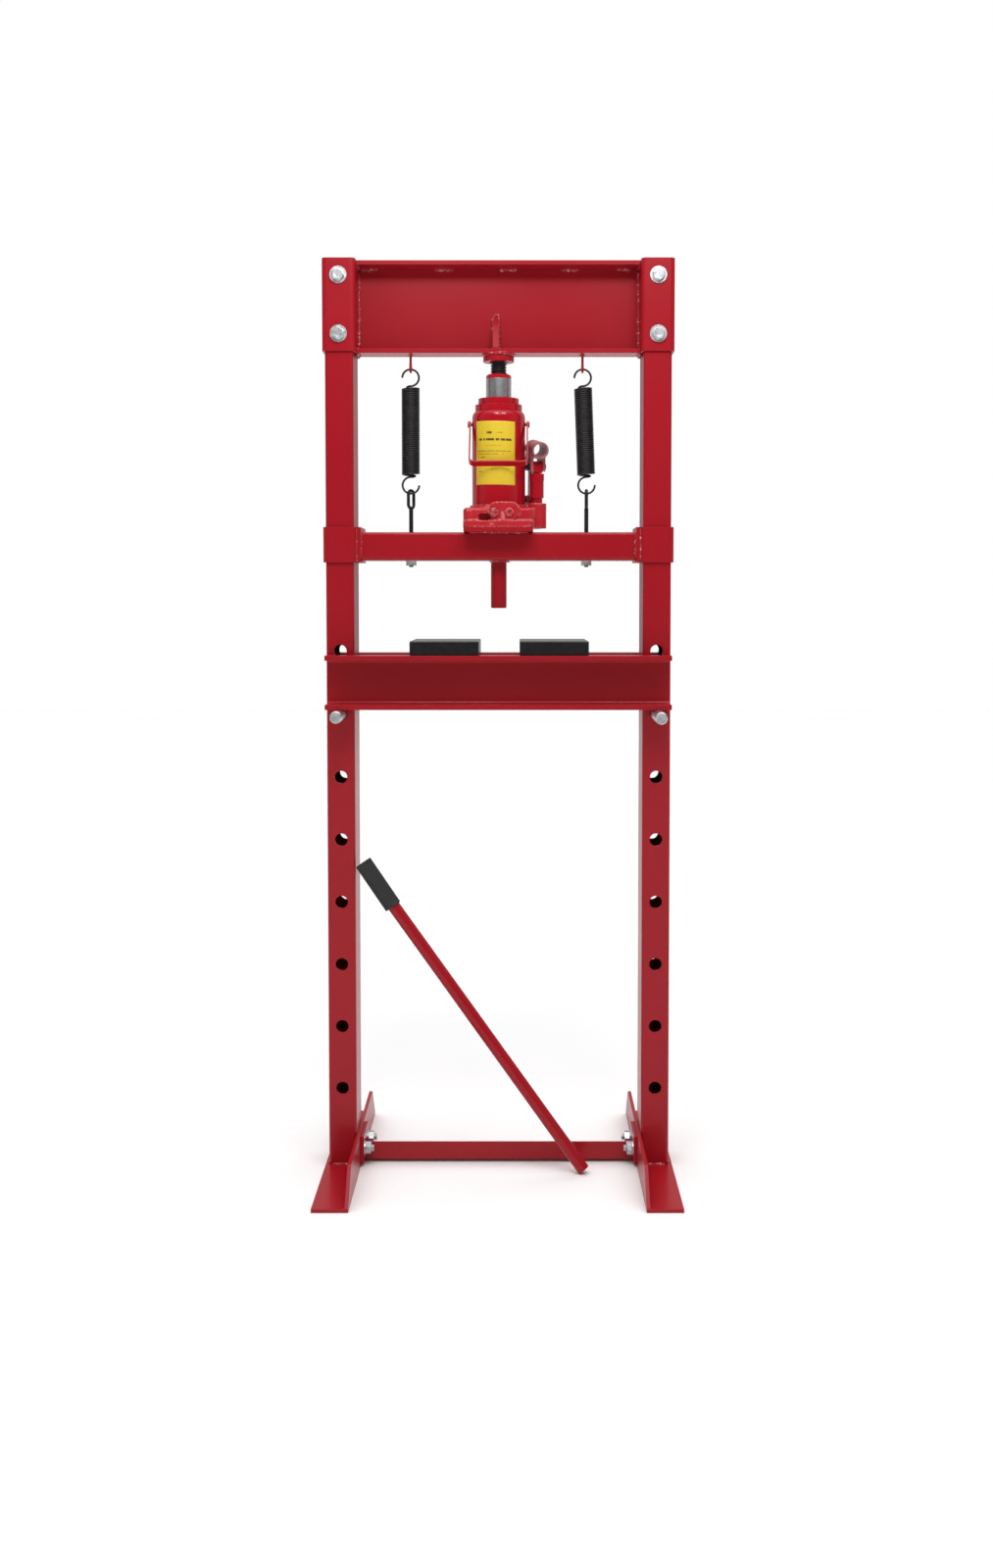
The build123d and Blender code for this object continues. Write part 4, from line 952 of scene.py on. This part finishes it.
# The base's own shape, remeshed and relaxed until its corners are soft. Its skin is drawn in by a sum
# of sines sin(w . p + c), and a well exp(-(x / wide)^6 - (z / tall)^6) is sunk into its front.
def makeCastBase():
    source = nodes["jack_base"]
    mesh = source.data.copy()
    piece = bpy.data.objects.new("jack_base_casting", mesh)
    bpy.context.scene.collection.objects.link(piece)
    weld = piece.modifiers.new("merge", "WELD")
    weld.merge_threshold = 0.00001
    remesh = piece.modifiers.new("voxels", "REMESH")
    remesh.mode, remesh.voxel_size, remesh.use_smooth_shade = "VOXEL", castLook["voxel"], True
    relax = piece.modifiers.new("relax", "SMOOTH")
    relax.factor, relax.iterations = 0.5, castLook["smooth"]
    deps = bpy.context.evaluated_depsgraph_get()
    final = bpy.data.meshes.new_from_object(piece.evaluated_get(deps))
    piece.modifiers.clear()
    piece.data = final
    final.name = "jack_base_casting"
    flat = np.zeros(len(final.vertices) * 3, np.float32)
    final.vertices.foreach_get("co", flat)
    points = flat.reshape(-1, 3).astype(float) / mm
    rng = np.random.default_rng(5)
    skin = np.zeros(len(points))
    for row in rng.normal(size=(castLook["waves"], 4)):
        phase = castLook["phase"] * row[3]
        skin += np.sin(points @ row[:3] * castLook["waveScale"] + phase) / castLook["waves"]
    facing = np.zeros(len(points) * 3, np.float32)
    final.vertices.foreach_get("normal", facing)
    facing = facing.reshape(-1, 3)
    low = points.min(0)
    hollow = castLook["pocket"]
    offX = (points[:, 0] - hollow["x"]) / hollow["wide"]
    offZ = (points[:, 2] - low[2] - hollow["above"]) / hollow["tall"]
    well = np.exp(-offX ** 6 - offZ ** 6)
    inFront = (facing[:, 1] < castLook["facing"]) & (points[:, 1] < low[1] + castLook["frontDepth"])
    points -= facing * (castLook["skin"] * (1 + skin.clip(-1, 1)))[:, None]
    points[:, 1] += np.where(inFront, hollow["deep"] * well, 0)
    final.vertices.foreach_set("co", (points * mm).astype(np.float32).ravel())
    final.update()
    final.materials.clear()
    final.materials.append(castPaint)
    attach(piece, "press_beam")
    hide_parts("jack_base")
    print("casting", len(final.vertices), "points")


makeCastBase()


shot = {
    "place": (0.025, -2.239, 0.8234), "pitch": 2.73, "focal": 1582 / 1600 * 36,
    "shiftX": -20 / 1600, "shiftY": -115 / 1600,
}
cameraData = bpy.data.cameras.new("camera")
cameraData.sensor_width, cameraData.lens = 36.0, shot["focal"]
cameraData.shift_x, cameraData.shift_y = shot["shiftX"], shot["shiftY"]
cameraData.clip_start, cameraData.clip_end = 0.05, 60
camera = bpy.data.objects.new("camera", cameraData)
camera.location = shot["place"]
camera.rotation_euler = (math.radians(90 - shot["pitch"]), 0, 0)
bpy.context.scene.collection.objects.link(camera)
bpy.context.scene.camera = camera

studio = {
    "floorHalf": 9.0, "floorZ": -0.0002, "floor": (0.92, 0.92, 0.92, 1),
    "front": 0.07, "around": 0.48, "overhead": 2.1, "seen": 1.0,
    "keyLeft": {"place": (-0.13, -0.70, 1.63), "aim": (0, 0, 0.95), "size": 0.24, "power": 2.45},
    "keyRight": {"place": (0.31, -0.70, 1.63), "aim": (0, 0, 0.95), "size": 0.24, "power": 2.15},
    "fill": {"place": (0.1, -3.4, 3.4), "aim": (0, 0, 0.8), "size": 1.4, "power": 17},
}


# Pale floor, a hair under the feet.
def makeFloor():
    half, z = studio["floorHalf"], studio["floorZ"]
    points = np.array([(-half, -half, z), (half, -half, z), (half, half, z), (-half, half, z)])
    material, tree, shader = newMaterial("studioFloor")
    place = addNode(tree, "TexCoord").outputs["Object"]
    tone = mixColour(tree, noise(tree, place, 3.0), (0.90, 0.90, 0.90, 1), studio["floor"])
    feed(tree, shader.inputs["Base Color"], tone)
    shader.inputs["Roughness"].default_value = 0.9
    shader.inputs["Specular IOR Level"].default_value = 0.1
    meshPiece("studio_floor", points, [[0, 1, 2, 3]], material)


# White surround that is dimmer on the side towards -Y; seen straight on it is plain white.
def makeWorld():
    world = bpy.data.worlds.new("studio")
    bpy.context.scene.world = world
    world.use_nodes = True
    tree = world.node_tree
    tree.nodes.clear()
    place = addNode(tree, "TexCoord").outputs["Generated"]
    parts = addNode(tree, "SeparateXYZ")
    feed(tree, parts.inputs[0], place)
    back = spread(tree, parts.outputs[1], -0.8, 0.1, studio["front"], studio["around"])
    above = spread(tree, parts.outputs[2], 0.45, 0.95, 0.0, studio["overhead"])
    strength = sums(tree, "MAXIMUM", back, above)
    ray = addNode(tree, "LightPath").outputs["Is Camera Ray"]
    lit = addNode(tree, "Background")
    lit.inputs["Color"].default_value = (1, 1, 1, 1)
    change = sums(tree, "SUBTRACT", studio["seen"], strength)
    feed(tree, lit.inputs["Strength"], sums(tree, "MULTIPLY_ADD", ray, change, strength))
    output = addNode(tree, "OutputWorld")
    tree.links.new(lit.outputs[0], output.inputs[0])


# Square soft lamp at a place, turned towards its aim, out of the camera's sight.
def makeLight(name, look):
    data = bpy.data.lights.new(name, "AREA")
    data.energy, data.size = look["power"], look["size"]
    lamp = bpy.data.objects.new(name, data)
    lamp.location = look["place"]
    lamp.rotation_euler = (Vector(look["aim"]) - Vector(look["place"])).to_track_quat("-Z", "Y").to_euler()
    lamp.visible_camera = False
    bpy.context.scene.collection.objects.link(lamp)


makeFloor()
makeWorld()
for name in ("keyLeft", "keyRight", "fill"):
    makeLight(name, studio[name])
bpy.context.scene.view_settings.view_transform = "Standard"
print("studio")
